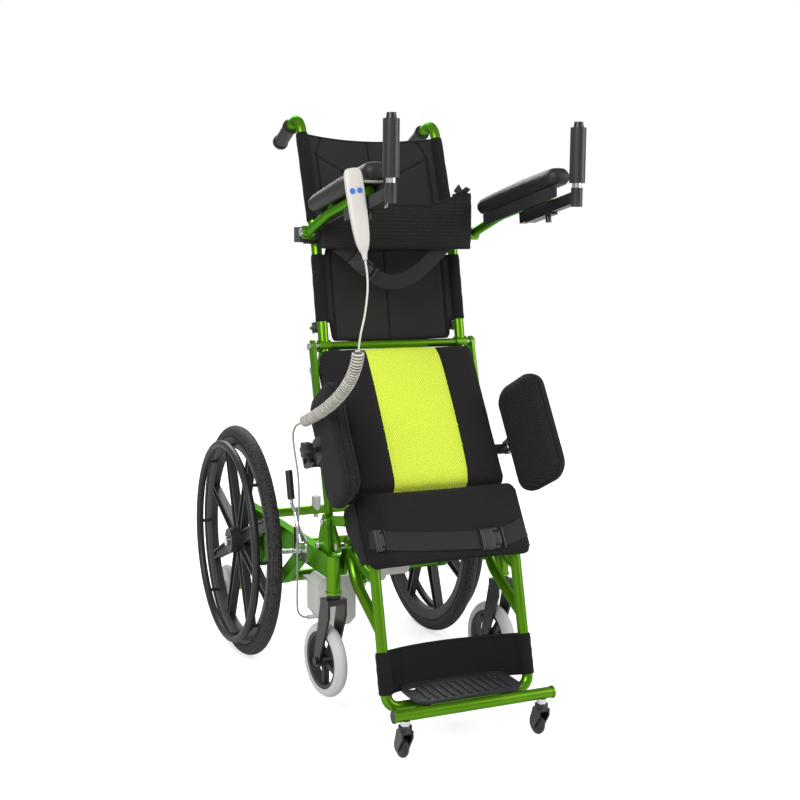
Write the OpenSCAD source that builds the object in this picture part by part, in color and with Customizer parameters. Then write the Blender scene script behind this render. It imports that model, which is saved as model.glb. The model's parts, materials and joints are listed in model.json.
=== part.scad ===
// Standing wheelchair, shown with its seat raised
// Side-view points are [y, z]: y runs back from the rear axle, z up from the floor

/* [Wheels] */
// Diameter of a rear wheel over its tyre
wheel_d = 610; // [560:1:640]
// Width of a rear tyre
tyre_w = 36; // [30:1:42]
// Distance of a rear tyre's middle outside the side rail's middle
wheel_offset = 53; // [50:1:80]
// Number of spokes in a rear wheel
spokes = 8; // [5:1:10]
// Diameter of a hand rim, to the middle of its tube
handrim_d = 516; // [490:1:526]
// Tube diameter of a hand rim
handrim_tube = 20; // [16:1:22]
// Distance from a tyre's middle plane out to its hand rim
handrim_out = 40; // [36:1:50]
// Diameter of a rear axle
axle_d = 12; // [10:1:15]
// Diameter of a front caster wheel
caster_d = 176; // [150:1:184]
// Width of a front caster wheel
caster_w = 30; // [24:1:34]
// Distance that a caster wheel trails behind its stem
caster_trail = 38; // [25:1:45]
// Swivel of the casters as they stand
caster_yaw = 8; // [0:1:15]
// Height of the raised casters above the floor
caster_lift = 40; // [30:1:60]
// Diameter of an anti-tip wheel
tip_d = 130; // [100:1:140]
// Width of an anti-tip wheel
tip_w = 24; // [18:1:28]
// Diameter of a foot caster wheel
toe_d = 52; // [45:1:56]
// Width of a foot caster wheel
toe_w = 18; // [14:1:22]

/* [Base frame] */
// Free space between the cushion and a seat arm
cushion_gap = 9; // [7:1:12]
// Width of a side rail
rail_w = 25; // [20:1:26]
// Height of a side rail
rail_h = 54; // [45:1:60]
// Height of the top of a side rail
rail_top = 385; // [375:1:390]
// Distance from the rear axle forward to the caster stems
wheelbase = 545; // [530:1:600]
// Diameter of a head tube
head_d = 32; // [28:1:36]
// Length of a head tube
head_l = 90; // [80:1:100]
// Diameter of a caster stem
stem_d = 18; // [14:1:20]
// Diameter of the cross tubes
cross_d = 25; // [20:1:28]
// Diameter of the pivot bolts
bolt_d = 10; // [8:1:12]

/* [Seat lift] */
// Tilt of the raised seat above the level
seat_tilt = 58.5; // [50:0.5:60]
// Distance from the rear axle forward to the seat pivot
pivot_ahead = 495; // [485:1:505]
// Height of the seat pivot
pivot_z = 455; // [450:1:465]
// Length of the seat arm from its pivot to the back hinge
seat_arm = 413; // [400:1:430]
// Length of the seat arm from its pivot to the knee hinge
knee_arm = 71; // [66:1:76]
// Distance that the parallel links lie behind the seat arms
link_back = 25; // [22:1:30]
// Distance that the parallel links lie below the seat arms
link_drop = 60; // [56:1:66]
// Width of the flat bars
bar_w = 30; // [26:1:34]
// Thickness of a seat arm
arm_plate = 8; // [6:1:8]
// Diameter of the actuator's barrel
barrel_d = 40; // [34:1:46]
// Diameter of the actuator's rod
ram_d = 20; // [16:1:24]

/* [Seat] */
// Width of the seat cushion
cushion_w = 394; // [380:1:400]
// Length of the seat cushion
cushion_l = 372; // [350:1:374]
// Thickness of the seat cushion at its edge
cushion_t = 74; // [60:1:90]
// Rise of the cushion's crown
cushion_crown = 20; // [10:1:26]
// Width of the cushion's middle strip
strip_w = 190; // [150:1:220]
// Length of the knee belt down the legs
knee_l = 174; // [150:1:180]
// Length of a hip pad
hip_l = 276; // [240:1:280]
// Height of a hip pad
hip_h = 150; // [130:1:160]
// Thickness of a hip pad
hip_t = 36; // [28:1:40]
// Swing of the left hip pad as it stands
hip_swing = 16; // [0:1:30]

/* [Back] */
// Distance of a cane's middle inside the seat arm
cane_set = 25; // [24:1:30]
// Diameter of a back cane
cane_d = 25; // [22:1:26]
// Lean of the lower part of the back
lower_lean = 12.3; // [8:0.1:14]
// Lean of the upper part of the back
upper_lean = 20.6; // [18:0.1:24]
// Length of the lower part of a cane
lower_cane = 241; // [225:1:260]
// Length of the upper part of a cane
upper_cane = 294; // [280:1:320]
// Length of a push handle
handle_l = 105; // [95:1:120]
// Bend radius of a push handle
handle_bend = 45; // [40:1:50]
// Diameter of a push grip
push_d = 34; // [30:1:38]
// Thickness of the back panels
panel_t = 9; // [6:1:12]
// Sag of the back panels behind the canes
panel_sag = 34; // [20:1:45]
// Height of the chest belt
belt_h = 106; // [90:1:120]
// Thickness of the chest belt
belt_t = 12; // [8:1:14]

/* [Arms] */
// Distance of an arm's middle outside the cane's middle
arm_offset = 36; // [33:1:42]
// Rise of the arms toward the front
arm_rise = 10.5; // [6:0.5:14]
// Diameter of an arm tube
arm_d = 22; // [20:1:24]
// Length of an arm pad
pad_l = 368; // [340:1:376]
// Width of an arm pad
pad_w = 58; // [50:1:64]
// Thickness of an arm pad
pad_t = 34; // [28:1:36]
// Distance from an arm's pivot forward to its hand grip
grip_ahead = 480; // [476:1:500]
// Height of a hand grip
grip_h = 158; // [140:1:170]
// Diameter of a hand grip
grip_d = 34; // [30:1:36]

/* [Legs] */
// Distance of a leg tube's middle inside the seat arm
leg_set = 29; // [28:1:34]
// Diameter of a leg tube
leg_d = 25; // [22:1:26]
// Lean of the leg tubes
leg_lean = 14.3; // [10:0.1:16]
// Distance from the knee hinge forward to the top of a leg tube
leg_ahead = 136; // [130:1:145]
// Height of the foot bar
bar_z = 99; // [96:1:104]
// Length of the foot bar
foot_bar = 384; // [370:1:420]
// Distance of a foot caster inside the leg tube's middle
toe_set = 9; // [4:1:16]
// Height of the calf strap
calf_h = 92; // [70:1:96]
// Width of the footplate
plate_w = 264; // [240:1:280]
// Depth of the footplate
plate_l = 122; // [100:1:130]

/* [Handset] */
// Length of the handset
set_l = 172; // [150:1:190]
// Width of the handset
set_w = 38; // [34:1:44]
// Thickness of the handset
set_t = 24; // [20:1:28]
// Diameter of the cord
cord_d = 4.4; // [3.6:0.1:4.6]
// Outer diameter of the curls
curl_d = 27; // [22:1:28]
// Number of curls
curls = 46; // [20:1:48]

/* [Clearances] */
// Radial running clearance of pins and shafts
run = 0.08; // [0.05:0.01:0.1]
// Side clearance between parts that turn past each other
side = 0.5; // [0.4:0.1:0.8]
// Clearance of sliding bars
slide = 0.3; // [0.2:0.05:0.4]

/* [Hidden] */
$fn = 48;
// Flat bars and straight tubes are drawn this much slimmer than their round ends and bends
strap_ease = 0.2;
tube_skin = 0.4;
// Room between a cloth sleeve or clamp and its tube
slip = 0.04;
green = "limegreen";
black = "#26262a";
chrome = "silver";
pale = "#d8d8d2";

// Planes across the chair, as distances from the middle
arm_in = cushion_w / 2 + cushion_gap;
arm_out = arm_in + arm_plate;
upright_t = 8;
upright_in = arm_out + 2;
rail_x = upright_in + upright_t / 2;
rail_in = rail_x - rail_w / 2;
rail_out = rail_x + rail_w / 2;
link_t = 7;
link_out = arm_in - 4.5;
link_in = link_out - link_t;
cane_x = arm_in - cane_set;
leg_x = arm_in - leg_set;
arm_x = cane_x + arm_offset;
wheel_x = rail_x + wheel_offset;
toe_track = 2 * (leg_x - toe_set);
tip_pin_d = 10;
tip_arm_x = rail_x - 40;
tip_x = tip_arm_x + 11 + 2 + tip_w / 2;

// Base points in side view
rail_bottom = rail_top - rail_h;
rail_back = 75;
axle_z = wheel_d / 2;
lower_cross = [-206, 250];
front_cross = [-440, rail_bottom + 15];
upper_rear_cross = [rail_back - 15, rail_bottom + 24];
low_rear_cross = [50, rail_bottom - 65];
tip_axle = [350, tip_d / 2 + 13];
hub_in = 30;
hub_out = 34;
hub_d = 66;

// Lift linkage in side view
pivot = [-pivot_ahead, pivot_z];
arm_set = 15.35;
hinge = pivot + seat_arm * [cos(seat_tilt + arm_set), sin(seat_tilt + arm_set)];
knee = pivot + knee_arm * [cos(seat_tilt + 166.5), sin(seat_tilt + 166.5)];
link_v = [link_back, -link_drop];
seat_d = [-cos(seat_tilt), -sin(seat_tilt)];
seat_n = [-sin(seat_tilt), cos(seat_tilt)];
lever_r = 70;
ram_eye = pivot + lever_r * [cos(seat_tilt + 41.5), sin(seat_tilt + 41.5)];
ram_foot = [-240, 235];
ram_play = 7;
ram_pin_d = 12;
eye_d = 28;
ram_v = ram_eye - ram_foot;
ram_l = norm(ram_v);
ram_a = atan2(ram_v[1], -ram_v[0]);
barrel_l = 250;

// Seat positions, s down the seat from the hinge and n out of it
pan_n = -46;
pan_t = 5;
cushion_s = 20;
cushion_end = cushion_s + cushion_l;
pan_s = 60;
knee_s = cushion_end + 2;
hip_s = 145;
hip_bar_s = hip_s + hip_l / 2 - 12;
hip_in = arm_out + 5;
hip_pin_d = 8;
hip_pin_n = -22;
hip_pin_x = hip_in + hip_t + 7;

// Back points in side view
lower_u = [sin(lower_lean), cos(lower_lean)];
upper_u = [sin(upper_lean), cos(upper_lean)];
cane_knee = hinge + lower_cane * lower_u;
cane_top = cane_knee + upper_cane * upper_u;
handle_turn = 93;
handle_set = handle_bend * tan(handle_turn / 2);
handle_a = 90 - upper_lean - handle_turn;
handle_u = [cos(handle_a), sin(handle_a)];
handle_corner = cane_top + handle_set * upper_u;
handle_start = handle_corner + handle_set * handle_u;
handle_end = handle_start + handle_l * handle_u;

// Arm points in side view, with u along the arm and v up from it
clamp_c = cane_knee + 28 * upper_u;
clamp_l = 43;
arm_pivot = clamp_c + [-48, 6];
arm_u = [-cos(arm_rise), sin(arm_rise)];
arm_v = [sin(arm_rise), cos(arm_rise)];
pad_u0 = 70;
pad_v0 = 31;
tube_v = pad_v0 - 4 - arm_d / 2;
socket_u0 = 285;
socket_l = 100;
slide_w = 18;
slide_h = 25;
socket_wall = 4;
slide_v = tube_v - arm_d / 2 - slide_h / 2 - 3;
grip_y = arm_pivot[0] - grip_ahead;
grip_foot_z = arm_pivot[1] + grip_ahead * tan(arm_rise) + slide_v / cos(arm_rise);

// Leg points in side view
leg_top = knee + [-leg_ahead, -12];
leg_low_z = bar_z - 10;
leg_bend = 28;
leg_foot = leg_top + (leg_top[1] - leg_low_z) * [-tan(leg_lean), -1];
leg_u = [-sin(leg_lean), -cos(leg_lean)];
bar_y = leg_foot[0] - 74;
brace_foot = leg_top + 146 * leg_u;
toe_trail = 16;
plate_z = bar_z + leg_d / 2;

// Middle of the chair's length, so that the origin lies under its middle
front_y = grip_y - grip_d / 2;
rear_y = tip_axle[0] + tip_d / 2;
mid_y = (front_y + rear_y) / 2;

// Handset frame: top middle, leaning with its foot forward and inward
set_x = -arm_x - 53;
set_top = [arm_pivot[0] - 404, arm_pivot[1] + 128];
set_tilt = -10.5;
set_lean = -7.2;
set_yaw = 14;
key_s = 48;
key_x = [-7.5, 7.5];
key_d = 11;

// Cord routes, round numbers chosen by hand
lead_route = [[-256, -810, 1063.5], [-254, -816, 1034], [-257, -825, 1000], [-266, -833, 955],
    [-276, -837, 918],
    [-280, -836, 890]];
coil_bend = [[-280, -836, 890], [-280, -826, 800], [-280, -650, 735], [-280, -500, 690]];
cable_route = [[-280, -500, 690], [-286, -474, 678], [-288, -462, 656], [-286, -464, 625],
    [-276, -462, 560],
    [-268, -446, 500], [-266, -436, 440], [-264, -424, 380], [-256, -400, 300], [-248, -376, 230],
    [-240, -362, 202], [-226, -356, 188], [-214, -355, 185]];

// Small helpers

module place() { translate([0, -mid_y, 0]) children(); }

module on_left() { children(); }

module on_right() { mirror([1, 0, 0]) children(); }

module both() {
    children();
    mirror([1, 0, 0]) children();
}

// Side profile carried across the chair from x0 to x1
module across(x0, x1) { translate([x0, 0, 0]) rotate([90, 0, 90]) linear_extrude(x1 - x0) children(); }

// Round bar across the chair at a side-view point
module pin(p, x0, x1, d) { translate([x0, p[0], p[1]]) rotate([0, 90, 0]) cylinder(h = x1 - x0, d = d); }

// Flat bar outline with round ends
module strap2d(p, q, w) {
    v = q - p;
    flat = w - strap_ease;
    translate(p) circle(d = w);
    translate(q) circle(d = w);
    translate(p) rotate(atan2(v[1], v[0])) translate([0, -flat / 2]) square([norm(v), flat]);
}

// Straight round bar between two points
module rod(p, q, d) {
    v = q - p;
    translate(p) rotate([0, acos(v[2] / norm(v)), atan2(v[1], v[0])]) cylinder(h = norm(v), d = d);
}

function unit(v) = v / norm(v);
function turn(a, b, c) = acos(max(-1, min(1, unit(a - b) * unit(c - b))));
function radius(r, i) = is_list(r) ? r[i] : r;
function trim(p, i, r) = radius(r, i) / tan(turn(p[i - 1], p[i], p[i + 1]) / 2);

// Tube bend at corner b
module elbow(a, b, c, r, d) {
    u = unit(a - b);
    w = unit(c - b);
    t = turn(a, b, c);
    m = b + unit(u + w) * r / sin(t / 2);
    e1 = unit(b + u * r / tan(t / 2) - m);
    e3 = cross(e1, -u);
    multmatrix([[e1[0], -u[0], e3[0], m[0]], [e1[1], -u[1], e3[1], m[1]], [e1[2], -u[2], e3[2], m[2]],
        [0, 0, 0, 1]])
        rotate_extrude(angle = 180 - t) translate([r, 0]) circle(d = d);
}

// Round tube bent along a list of corners, with one bend radius or one for each corner
// The bends are drawn a hair thicker, and the straights run a little way into them
module bent(p, r, d) {
    lap = 0.3;
    last = len(p) - 1;
    for (i = [0 : last - 1]) {
        u = unit(p[i + 1] - p[i]);
        from = i == 0 ? 0 : trim(p, i, r) - lap;
        to = i + 1 == last ? 0 : trim(p, i + 1, r) - lap;
        rod(p[i] + u * from, p[i + 1] - u * to, d);
    }
    for (i = [1 : 1 : last - 1]) elbow(p[i - 1], p[i], p[i + 1], radius(r, i), d + tube_skin);
}

function at_x(x, p) = [x, p[0], p[1]];
function seat_at(s, n) = hinge + s * seat_d + n * seat_n;
function arm_at(u, v) = arm_pivot + u * arm_u + v * arm_v;

// Frame with x across, y down the seat and z out of it
module seat_frame_axes() {
    translate([0, hinge[0], hinge[1]]) rotate([seat_tilt, 0, 0]) mirror([0, 1, 0]) children();
}

// Frame with x across, y forward along the arm and z up from it
module arm_axes() {
    translate([0, arm_pivot[0], arm_pivot[1]]) rotate([-arm_rise, 0, 0]) mirror([0, 1, 0]) children();
}

// Frame with x across, y behind the cane and z up along it
module cane_axes(p, lean) { translate([0, p[0], p[1]]) rotate([-lean, 0, 0]) children(); }

// Points of a rounded rectangle
function corner_ring(w, l, r, k) = [for (c = [0 : 3]) for (j = [0 : k])
    let (a = 90 * c + 90 * j / k, sx = (c == 0 || c == 3) ? 1 : -1, sy = c < 2 ? 1 : -1)
    [sx * (w / 2 - r) + r * cos(a), sy * (l / 2 - r) + r * sin(a)]];

// Stuffed pad: rings of rounded rectangles, drawn in at the seam edges and crowned on both faces
module pillow(w, l, t, r, crown, k = 4, m = 5) {
    n = 4 * (k + 1);
    soft = min(t / 2, r) * 0.9;
    lower = [for (i = [0 : m]) let (a = 90 * i / m) [soft * (1 - sin(a)),
        t / 2 - t / 2 * (1 - cos(a)) * 0.8]];
    levels = concat(
        [for (i = [0 : m]) [lower[i][0], lower[i][1] * -1]],
        [for (i = [m - 1 : -1 : 0]) lower[i]]);
    rings = [for (q = levels) [for (p = corner_ring(w - 2 * q[0], l - 2 * q[0], max(1, r - q[0]), k))
        [p[0], p[1], q[1]]]];
    count = len(rings);
    body = [for (g = rings) each g];
    points = concat(body, [[0, 0, -t / 2 - crown], [0, 0, t / 2 + crown]]);
    faces = concat(
        [for (g = [0 : count - 2]) for (i = [0 : n - 1]) let (a = g * n + i, b = g * n + (i + 1) % n)
            each [[a, a + n, b], [b, a + n, b + n]]],
        [for (i = [0 : n - 1]) [(i + 1) % n, count * n, i]],
        [for (i = [0 : n - 1]) [(count - 1) * n + i, count * n + 1, (count - 1) * n + (i + 1) % n]]);
    polyhedron(points = points, faces = faces, convexity = 4);
}

// Tube swept through a list of points
function side_of(t) = abs(t[2]) < 0.9 ? unit(cross(t, [0, 0, 1])) : unit(cross(t, [1, 0, 0]));
function carry(s, t) = unit(s - t * (s * t));
function tangents(p) = [for (i = [0 : len(p) - 1])
    unit(p[min(i + 1, len(p) - 1)] - p[max(i - 1, 0)])];
function sides_along(t, i = 0, s = [0, 0, 0]) = i == len(t) ? []
    : let (now = i == 0 ? side_of(t[0]) : carry(s, t[i])) concat([now], sides_along(t, i + 1, now));

module sweep(p, d, n) {
    t = tangents(p);
    u = sides_along(t);
    last = len(p) - 1;
    points = [for (i = [0 : last]) let (w = cross(t[i], u[i])) for (j = [0 : n - 1])
        p[i] + d / 2 * (cos(360 * j / n) * u[i] + sin(360 * j / n) * w)];
    faces = concat(
        [for (i = [0 : last - 1]) for (j = [0 : n - 1]) let (a = i * n + j, b = i * n + (j + 1) % n)
            each [[a, a + n, b], [b, a + n, b + n]]],
        [[for (j = [0 : n - 1]) j]],
        [[for (j = [n - 1 : -1 : 0]) last * n + j]]);
    polyhedron(points = points, faces = faces, convexity = 8);
}

// Smooth route through hand-chosen points
function spline(a, b, c, e, t) = 0.5 * (2 * b + (c - a) * t + (2 * a - 5 * b + 4 * c - e) * t * t
    + (3 * b - a - 3 * c + e) * t * t * t);
function smooth(p, k) = concat([for (i = [0 : len(p) - 2]) for (j = [0 : k - 1])
    spline(p[max(i - 1, 0)], p[i], p[i + 1], p[min(i + 2, len(p) - 1)], j / k)], [p[len(p) - 1]]);

// Base frame

module base_side() {
    difference() {
        union() {
            translate([rail_in, -wheelbase, rail_bottom]) cube([rail_w, wheelbase + rail_back, rail_h]);
            translate([rail_x, -wheelbase, rail_top - head_l]) cylinder(h = head_l, d = head_d);
            translate([rail_x, -wheelbase, rail_top - head_l]) cylinder(h = 6, d = head_d + 4);
            across(upright_in, upright_in + upright_t) upright2d();
            across(rail_x - 6, rail_x + 6) axle_plate2d();
            across(rail_x - 11, rail_x + 11)
                strap2d([lower_cross[0] - 129, rail_bottom + 8], lower_cross, 32);
            pin([0, axle_z], rail_x - 6, wheel_x - hub_in - side, 36);
        }
        translate([rail_x, -wheelbase, rail_top - head_l - 1])
            cylinder(h = head_l - 7, d = stem_d + 2 * run);
        pin([0, axle_z], rail_in - 1, wheel_x, axle_d);
        for (p = [pivot, pivot + link_v]) pin(p, rail_in, rail_out, bolt_d);
    }
}

module upright2d() {
    strap2d(pivot, pivot + link_v, bar_w + 6);
    polygon([[pivot[0] - 30, rail_top - 8], [pivot[0] + link_back + 62, rail_top - 8],
        [pivot[0] + link_back + 18, pivot[1] - link_drop], [pivot[0] + 14, pivot[1]],
        [pivot[0] - 17, pivot[1]]]);
}

module axle_plate2d() {
    polygon([[-56, rail_bottom + 4], [rail_back, rail_bottom + 4], [rail_back, low_rear_cross[1] - 18],
        [rail_back - 22, low_rear_cross[1] - 30], [-32, low_rear_cross[1] - 30], [-56, low_rear_cross[1]]]);
}

module base_side_left() { color(green) place() on_left() base_side(); }

module base_side_right() { color(green) place() on_right() base_side(); }

module base_cross_tubes() {
    color(green) place() {
        pin(front_cross, -rail_in, rail_in, cross_d);
        pin(upper_rear_cross, -rail_in, rail_in, cross_d);
        pin(lower_cross, 11 - rail_x, rail_x - 11, cross_d + 3);
        for (s = [-1, 1]) translate([16 * s, 0, 0]) across(-4, 4) strap2d(lower_cross, ram_foot, bar_w);
        pin(ram_foot, -26, 26, ram_pin_d);
        pin(low_rear_cross, 6 - rail_x, rail_x - 6, cross_d - 3);
        both() anti_tip_arm();
    }
}

module anti_tip_arm() {
    bent([at_x(tip_arm_x, low_rear_cross), at_x(tip_arm_x, low_rear_cross + [130, 0]),
        at_x(tip_arm_x, tip_axle)],
        66, 22);
    pin(tip_axle, tip_arm_x, tip_x + tip_w / 2 + 5, tip_pin_d);
    pin(tip_axle, tip_arm_x - 14, tip_x - tip_w / 2 - side, 26);
    pin(tip_axle, tip_x + tip_w / 2 + side, tip_x + tip_w / 2 + 7, 19);
}

module base_bolts() {
    color(chrome) place() both() {
        pin([0, axle_z], rail_x - 6, wheel_x + hub_out + side, axle_d);
        pin([0, axle_z], wheel_x + hub_out + side, wheel_x + hub_out + 8, 26);
        pivot_bolt(pivot, arm_in - 6, arm_out + side, upright_in);
        pivot_bolt(pivot + link_v, link_in - 6, link_out + side, upright_in);
    }
}

// Bolt with its head inside, a collar against its own plate and a nut outside
module pivot_bolt(p, head_x, collar_x, plate_x) {
    pin(p, head_x, rail_x + 13, bolt_d);
    pin(p, head_x, head_x + 6 - side, bolt_d + 8);
    pin(p, collar_x, plate_x, bolt_d + 6);
    pin(p, upright_in + upright_t, rail_x + 11, bolt_d + 7);
}

module control_box() {
    box_w = 100;
    box_d = 74;
    box_h = 122;
    cut = 16;
    back = -314;
    top = 288;
    color(pale) place() {
        translate([-200, back, top - box_h]) rotate([90, 0, 0]) linear_extrude(box_d)
            polygon([[cut * 1.6, 0], [box_w - cut, 0], [box_w, cut], [box_w, box_h - cut / 2],
                [box_w - cut / 2, box_h], [cut, box_h], [0, box_h - cut], [0, 2 * cut]]);
        for (x = [-178, -136]) translate([x, back, lower_cross[1] - 4])
            cube([18, lower_cross[0] - (cross_d + 3) / 2 - back, 8]);
        pin([-355, 185], -214, -184, 11);
    }
}

module rail_bumper() {
    color(pale) place() difference() {
        translate([-36, upper_rear_cross[0], upper_rear_cross[1]]) {
            cylinder(h = cross_d / 2 + 26, d = 26);
            translate([0, 0, -cross_d / 2 - 9]) cylinder(h = 12, d = 13);
        }
        pin(upper_rear_cross, -rail_in, rail_in, cross_d);
    }
}

// Brakes

brake_x = rail_out + 5;
lever_p = [-403, 377];
shoe_p = [-343, 404];
shoe_bar = [-347, 352];
shoe_t = 4;
lever_x = brake_x + 9.5;

module brake_brackets() {
    color(chrome) place() both() {
        across(rail_out, brake_x) {
            strap2d(lever_p, shoe_p, 30);
            strap2d(lever_p, [lever_p[0] + 6, rail_bottom + 18], 30);
            strap2d(shoe_p, [shoe_p[0] - 16, rail_bottom + 18], 26);
        }
        pin(lever_p, rail_out, lever_x + 10, 8);
        pin(lever_p, brake_x, lever_x - 6 - side, 15);
        pin(lever_p, lever_x + 6 + side, lever_x + 12, 15);
        pin(shoe_p, rail_out, brake_x + side + shoe_t, 8);
    }
}

module brake_lever() {
    grip = [-334, 468];
    grip_end = [-315, 541];
    grip_tilt = atan2(grip[0] - grip_end[0], grip_end[1] - grip[1]);
    color(chrome) difference() {
        union() {
            pin(lever_p, lever_x - 6, lever_x + 6, 22);
            bent([at_x(lever_x, lever_p), at_x(lever_x, [-361, 450]), at_x(lever_x, grip),
                at_x(lever_x, grip_end)],
                9, 9);
            translate(at_x(lever_x, grip)) rotate([grip_tilt, 0, 0]) translate([0, 0, 10])
                cylinder(h = 70, d = 17);
        }
        pin(lever_p, lever_x - 8, lever_x + 8, 8 + 2 * run);
    }
}

module brake_lever_left() { place() on_left() brake_lever(); }

module brake_lever_right() { place() on_right() brake_lever(); }

module brake_shoe() {
    color(chrome) difference() {
        union() {
            across(brake_x + side, brake_x + side + shoe_t) strap2d(shoe_p, shoe_bar, 17);
            pin(shoe_bar, brake_x + side, wheel_x, 12);
        }
        pin(shoe_p, brake_x, brake_x + 8, 8 + 2 * run);
    }
}

module brake_shoe_left() { place() on_left() brake_shoe(); }

module brake_shoe_right() { place() on_right() brake_shoe(); }

// Rear wheels, modelled about their own axle with the outside toward +X

bead_r = wheel_d / 2 - tyre_w * 0.86;
rim_r = bead_r - 29;

module wheel_axes() { translate([wheel_x, 0, axle_z]) rotate([0, 90, 0]) children(); }

module rear_tyre() {
    color(black) wheel_axes() rotate_extrude($fn = 96) difference() {
        translate([wheel_d / 2 - tyre_w / 2, 0]) circle(d = tyre_w);
        translate([0, -tyre_w]) square([bead_r, 2 * tyre_w]);
    }
}

module rear_tyre_left() { place() on_left() rear_tyre(); }

module rear_tyre_right() { place() on_right() rear_tyre(); }

module rear_wheel() {
    lip = min(15, tyre_w / 2 - 3);
    color(black) wheel_axes() difference() {
        union() {
            rotate_extrude($fn = 96) polygon([[bead_r, -lip], [bead_r, lip], [bead_r - 8, lip], [rim_r, 9],
                [rim_r, -9], [bead_r - 8, -lip]]);
            translate([0, 0, -hub_in]) cylinder(h = hub_in + hub_out, d = hub_d);
            for (i = [0 : spokes - 1]) rotate(360 * (i + 0.5) / spokes) spoke();
            rotate_extrude($fn = 96) translate([handrim_d / 2, handrim_out]) circle(d = handrim_tube);
            for (i = [0 : spokes - 1]) rotate(360 * i / spokes) translate([handrim_d / 2, 0, 6])
                cylinder(h = handrim_out - 6, d = 9);
        }
        translate([0, 0, -hub_in - 1]) cylinder(h = hub_in + hub_out + 2, d = axle_d + 2 * run);
    }
}

// Spoke of I section: a tapering web between two flanges
module spoke() {
    r0 = hub_d / 2 - 6;
    r1 = rim_r + 4;
    w0 = 19;
    w1 = 12;
    rib = 6;
    translate([0, 0, -4]) linear_extrude(8) polygon([[r0, -w0], [r1, -w1], [r1, w1], [r0, w0]]);
    for (s = [-1, 1]) translate([0, 0, -10]) linear_extrude(20)
        polygon([[r0, s * w0], [r1, s * w1], [r1, s * (w1 - rib)], [r0, s * (w0 - rib)]]);
}

module rear_wheel_left() { place() on_left() rear_wheel(); }

module rear_wheel_right() { place() on_right() rear_wheel(); }

// Front casters, about their stem axis

caster_z = caster_d / 2 + caster_lift;
fork_in = caster_w / 2 + 4;
fork_t = 6;
caster_pin = 10;
crown_z = rail_top - head_l;

module caster_axes(s) { translate([s * rail_x, -wheelbase, 0]) rotate([0, 0, caster_yaw]) children(); }

module caster_fork(s) {
    color(black) place() caster_axes(s) {
        translate([0, 0, crown_z - 24]) cylinder(h = 24 + head_l - 16, d = stem_d);
        translate([0, 0, crown_z - 10]) cylinder(h = 10 - side, d = head_d - 2);
        translate([-fork_in - fork_t, -19, crown_z - 24]) cube([2 * (fork_in + fork_t), 38, 14]);
        both() across(fork_in, fork_in + fork_t) fork_leg2d();
        pin([caster_trail, caster_z], -fork_in - fork_t, fork_in + fork_t, caster_pin);
        both() pin([caster_trail, caster_z], fork_in + fork_t, fork_in + fork_t + 5, 17);
        both() pin([caster_trail, caster_z], caster_w / 2 + side, fork_in, 16);
    }
}

module fork_leg2d() {
    translate([caster_trail, caster_z]) circle(d = 26);
    polygon([[-19, crown_z - 10], [19, crown_z - 10], [19, crown_z - 26], [caster_trail + 13, caster_z],
        [caster_trail - 13, caster_z], [-19, crown_z - 50]]);
}

module caster_fork_left() { caster_fork(1); }

module caster_fork_right() { caster_fork(-1); }

module caster_wheel_axes(s) {
    place() caster_axes(s) translate([0, caster_trail, caster_z]) rotate([0, 90, 0]) children();
}

caster_bead = caster_d / 2 - 20;

module caster_tyre(s) {
    color(pale) caster_wheel_axes(s) rotate_extrude() difference() {
        union() {
            translate([caster_d / 2 - caster_w / 2, 0]) circle(d = caster_w);
            translate([caster_bead, -caster_w / 2 + 2]) square([14, caster_w - 4]);
        }
        translate([0, -caster_w]) square([caster_bead, 2 * caster_w]);
    }
}

module caster_tyre_left() { caster_tyre(1); }

module caster_tyre_right() { caster_tyre(-1); }

module caster_rim(s) {
    color(black) caster_wheel_axes(s) difference() {
        union() {
            rotate_extrude() translate([caster_bead - 9, -caster_w / 2 + 3]) square([9, caster_w - 6]);
            translate([0, 0, -caster_w / 2]) cylinder(h = caster_w, d = 30);
            for (i = [0 : 4]) rotate(72 * i) translate([10, -6, -7]) cube([caster_bead - 14, 12, 14]);
        }
        translate([0, 0, -caster_w]) cylinder(h = 2 * caster_w, d = caster_pin + 2 * run);
    }
}

module caster_rim_left() { caster_rim(1); }

module caster_rim_right() { caster_rim(-1); }

module anti_tip_wheel() {
    color(pale) translate([tip_x, tip_axle[0], tip_axle[1]]) rotate([0, 90, 0]) difference() {
        union() {
            rotate_extrude() translate([tip_d / 2 - tip_w / 2, 0]) circle(d = tip_w);
            translate([0, 0, -tip_w / 2]) cylinder(h = tip_w, d = 30);
            translate([0, 0, -5]) cylinder(h = 10, d = tip_d - tip_w);
        }
        translate([0, 0, -tip_w]) cylinder(h = 2 * tip_w, d = tip_pin_d + 2 * run);
    }
}

module anti_tip_wheel_left() { place() on_left() anti_tip_wheel(); }

module anti_tip_wheel_right() { place() on_right() anti_tip_wheel(); }

// Seat, with its arms, pan and cross members

member_w = 26;
member_s = [150, hip_bar_s + 12 + member_w / 2];
ear = seat_at(430, -24);

module seat_arm2d() {
    difference() {
        union() {
            strap2d(hinge, pivot, bar_w);
            strap2d(pivot, knee, bar_w);
            strap2d(pivot, ear, bar_w - 6);
            polygon([seat_at(member_s[0] - 24, pan_n), seat_at(member_s[1] + 24, pan_n),
                seat_at(member_s[1] + 30, -95),
                seat_at(member_s[0], -50)]);
            translate(seat_at(hip_bar_s, pan_n - 8)) circle(d = 44);
        }
        for (p = [hinge, pivot, knee]) translate(p) circle(d = bolt_d + 2 * run);
    }
}

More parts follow.
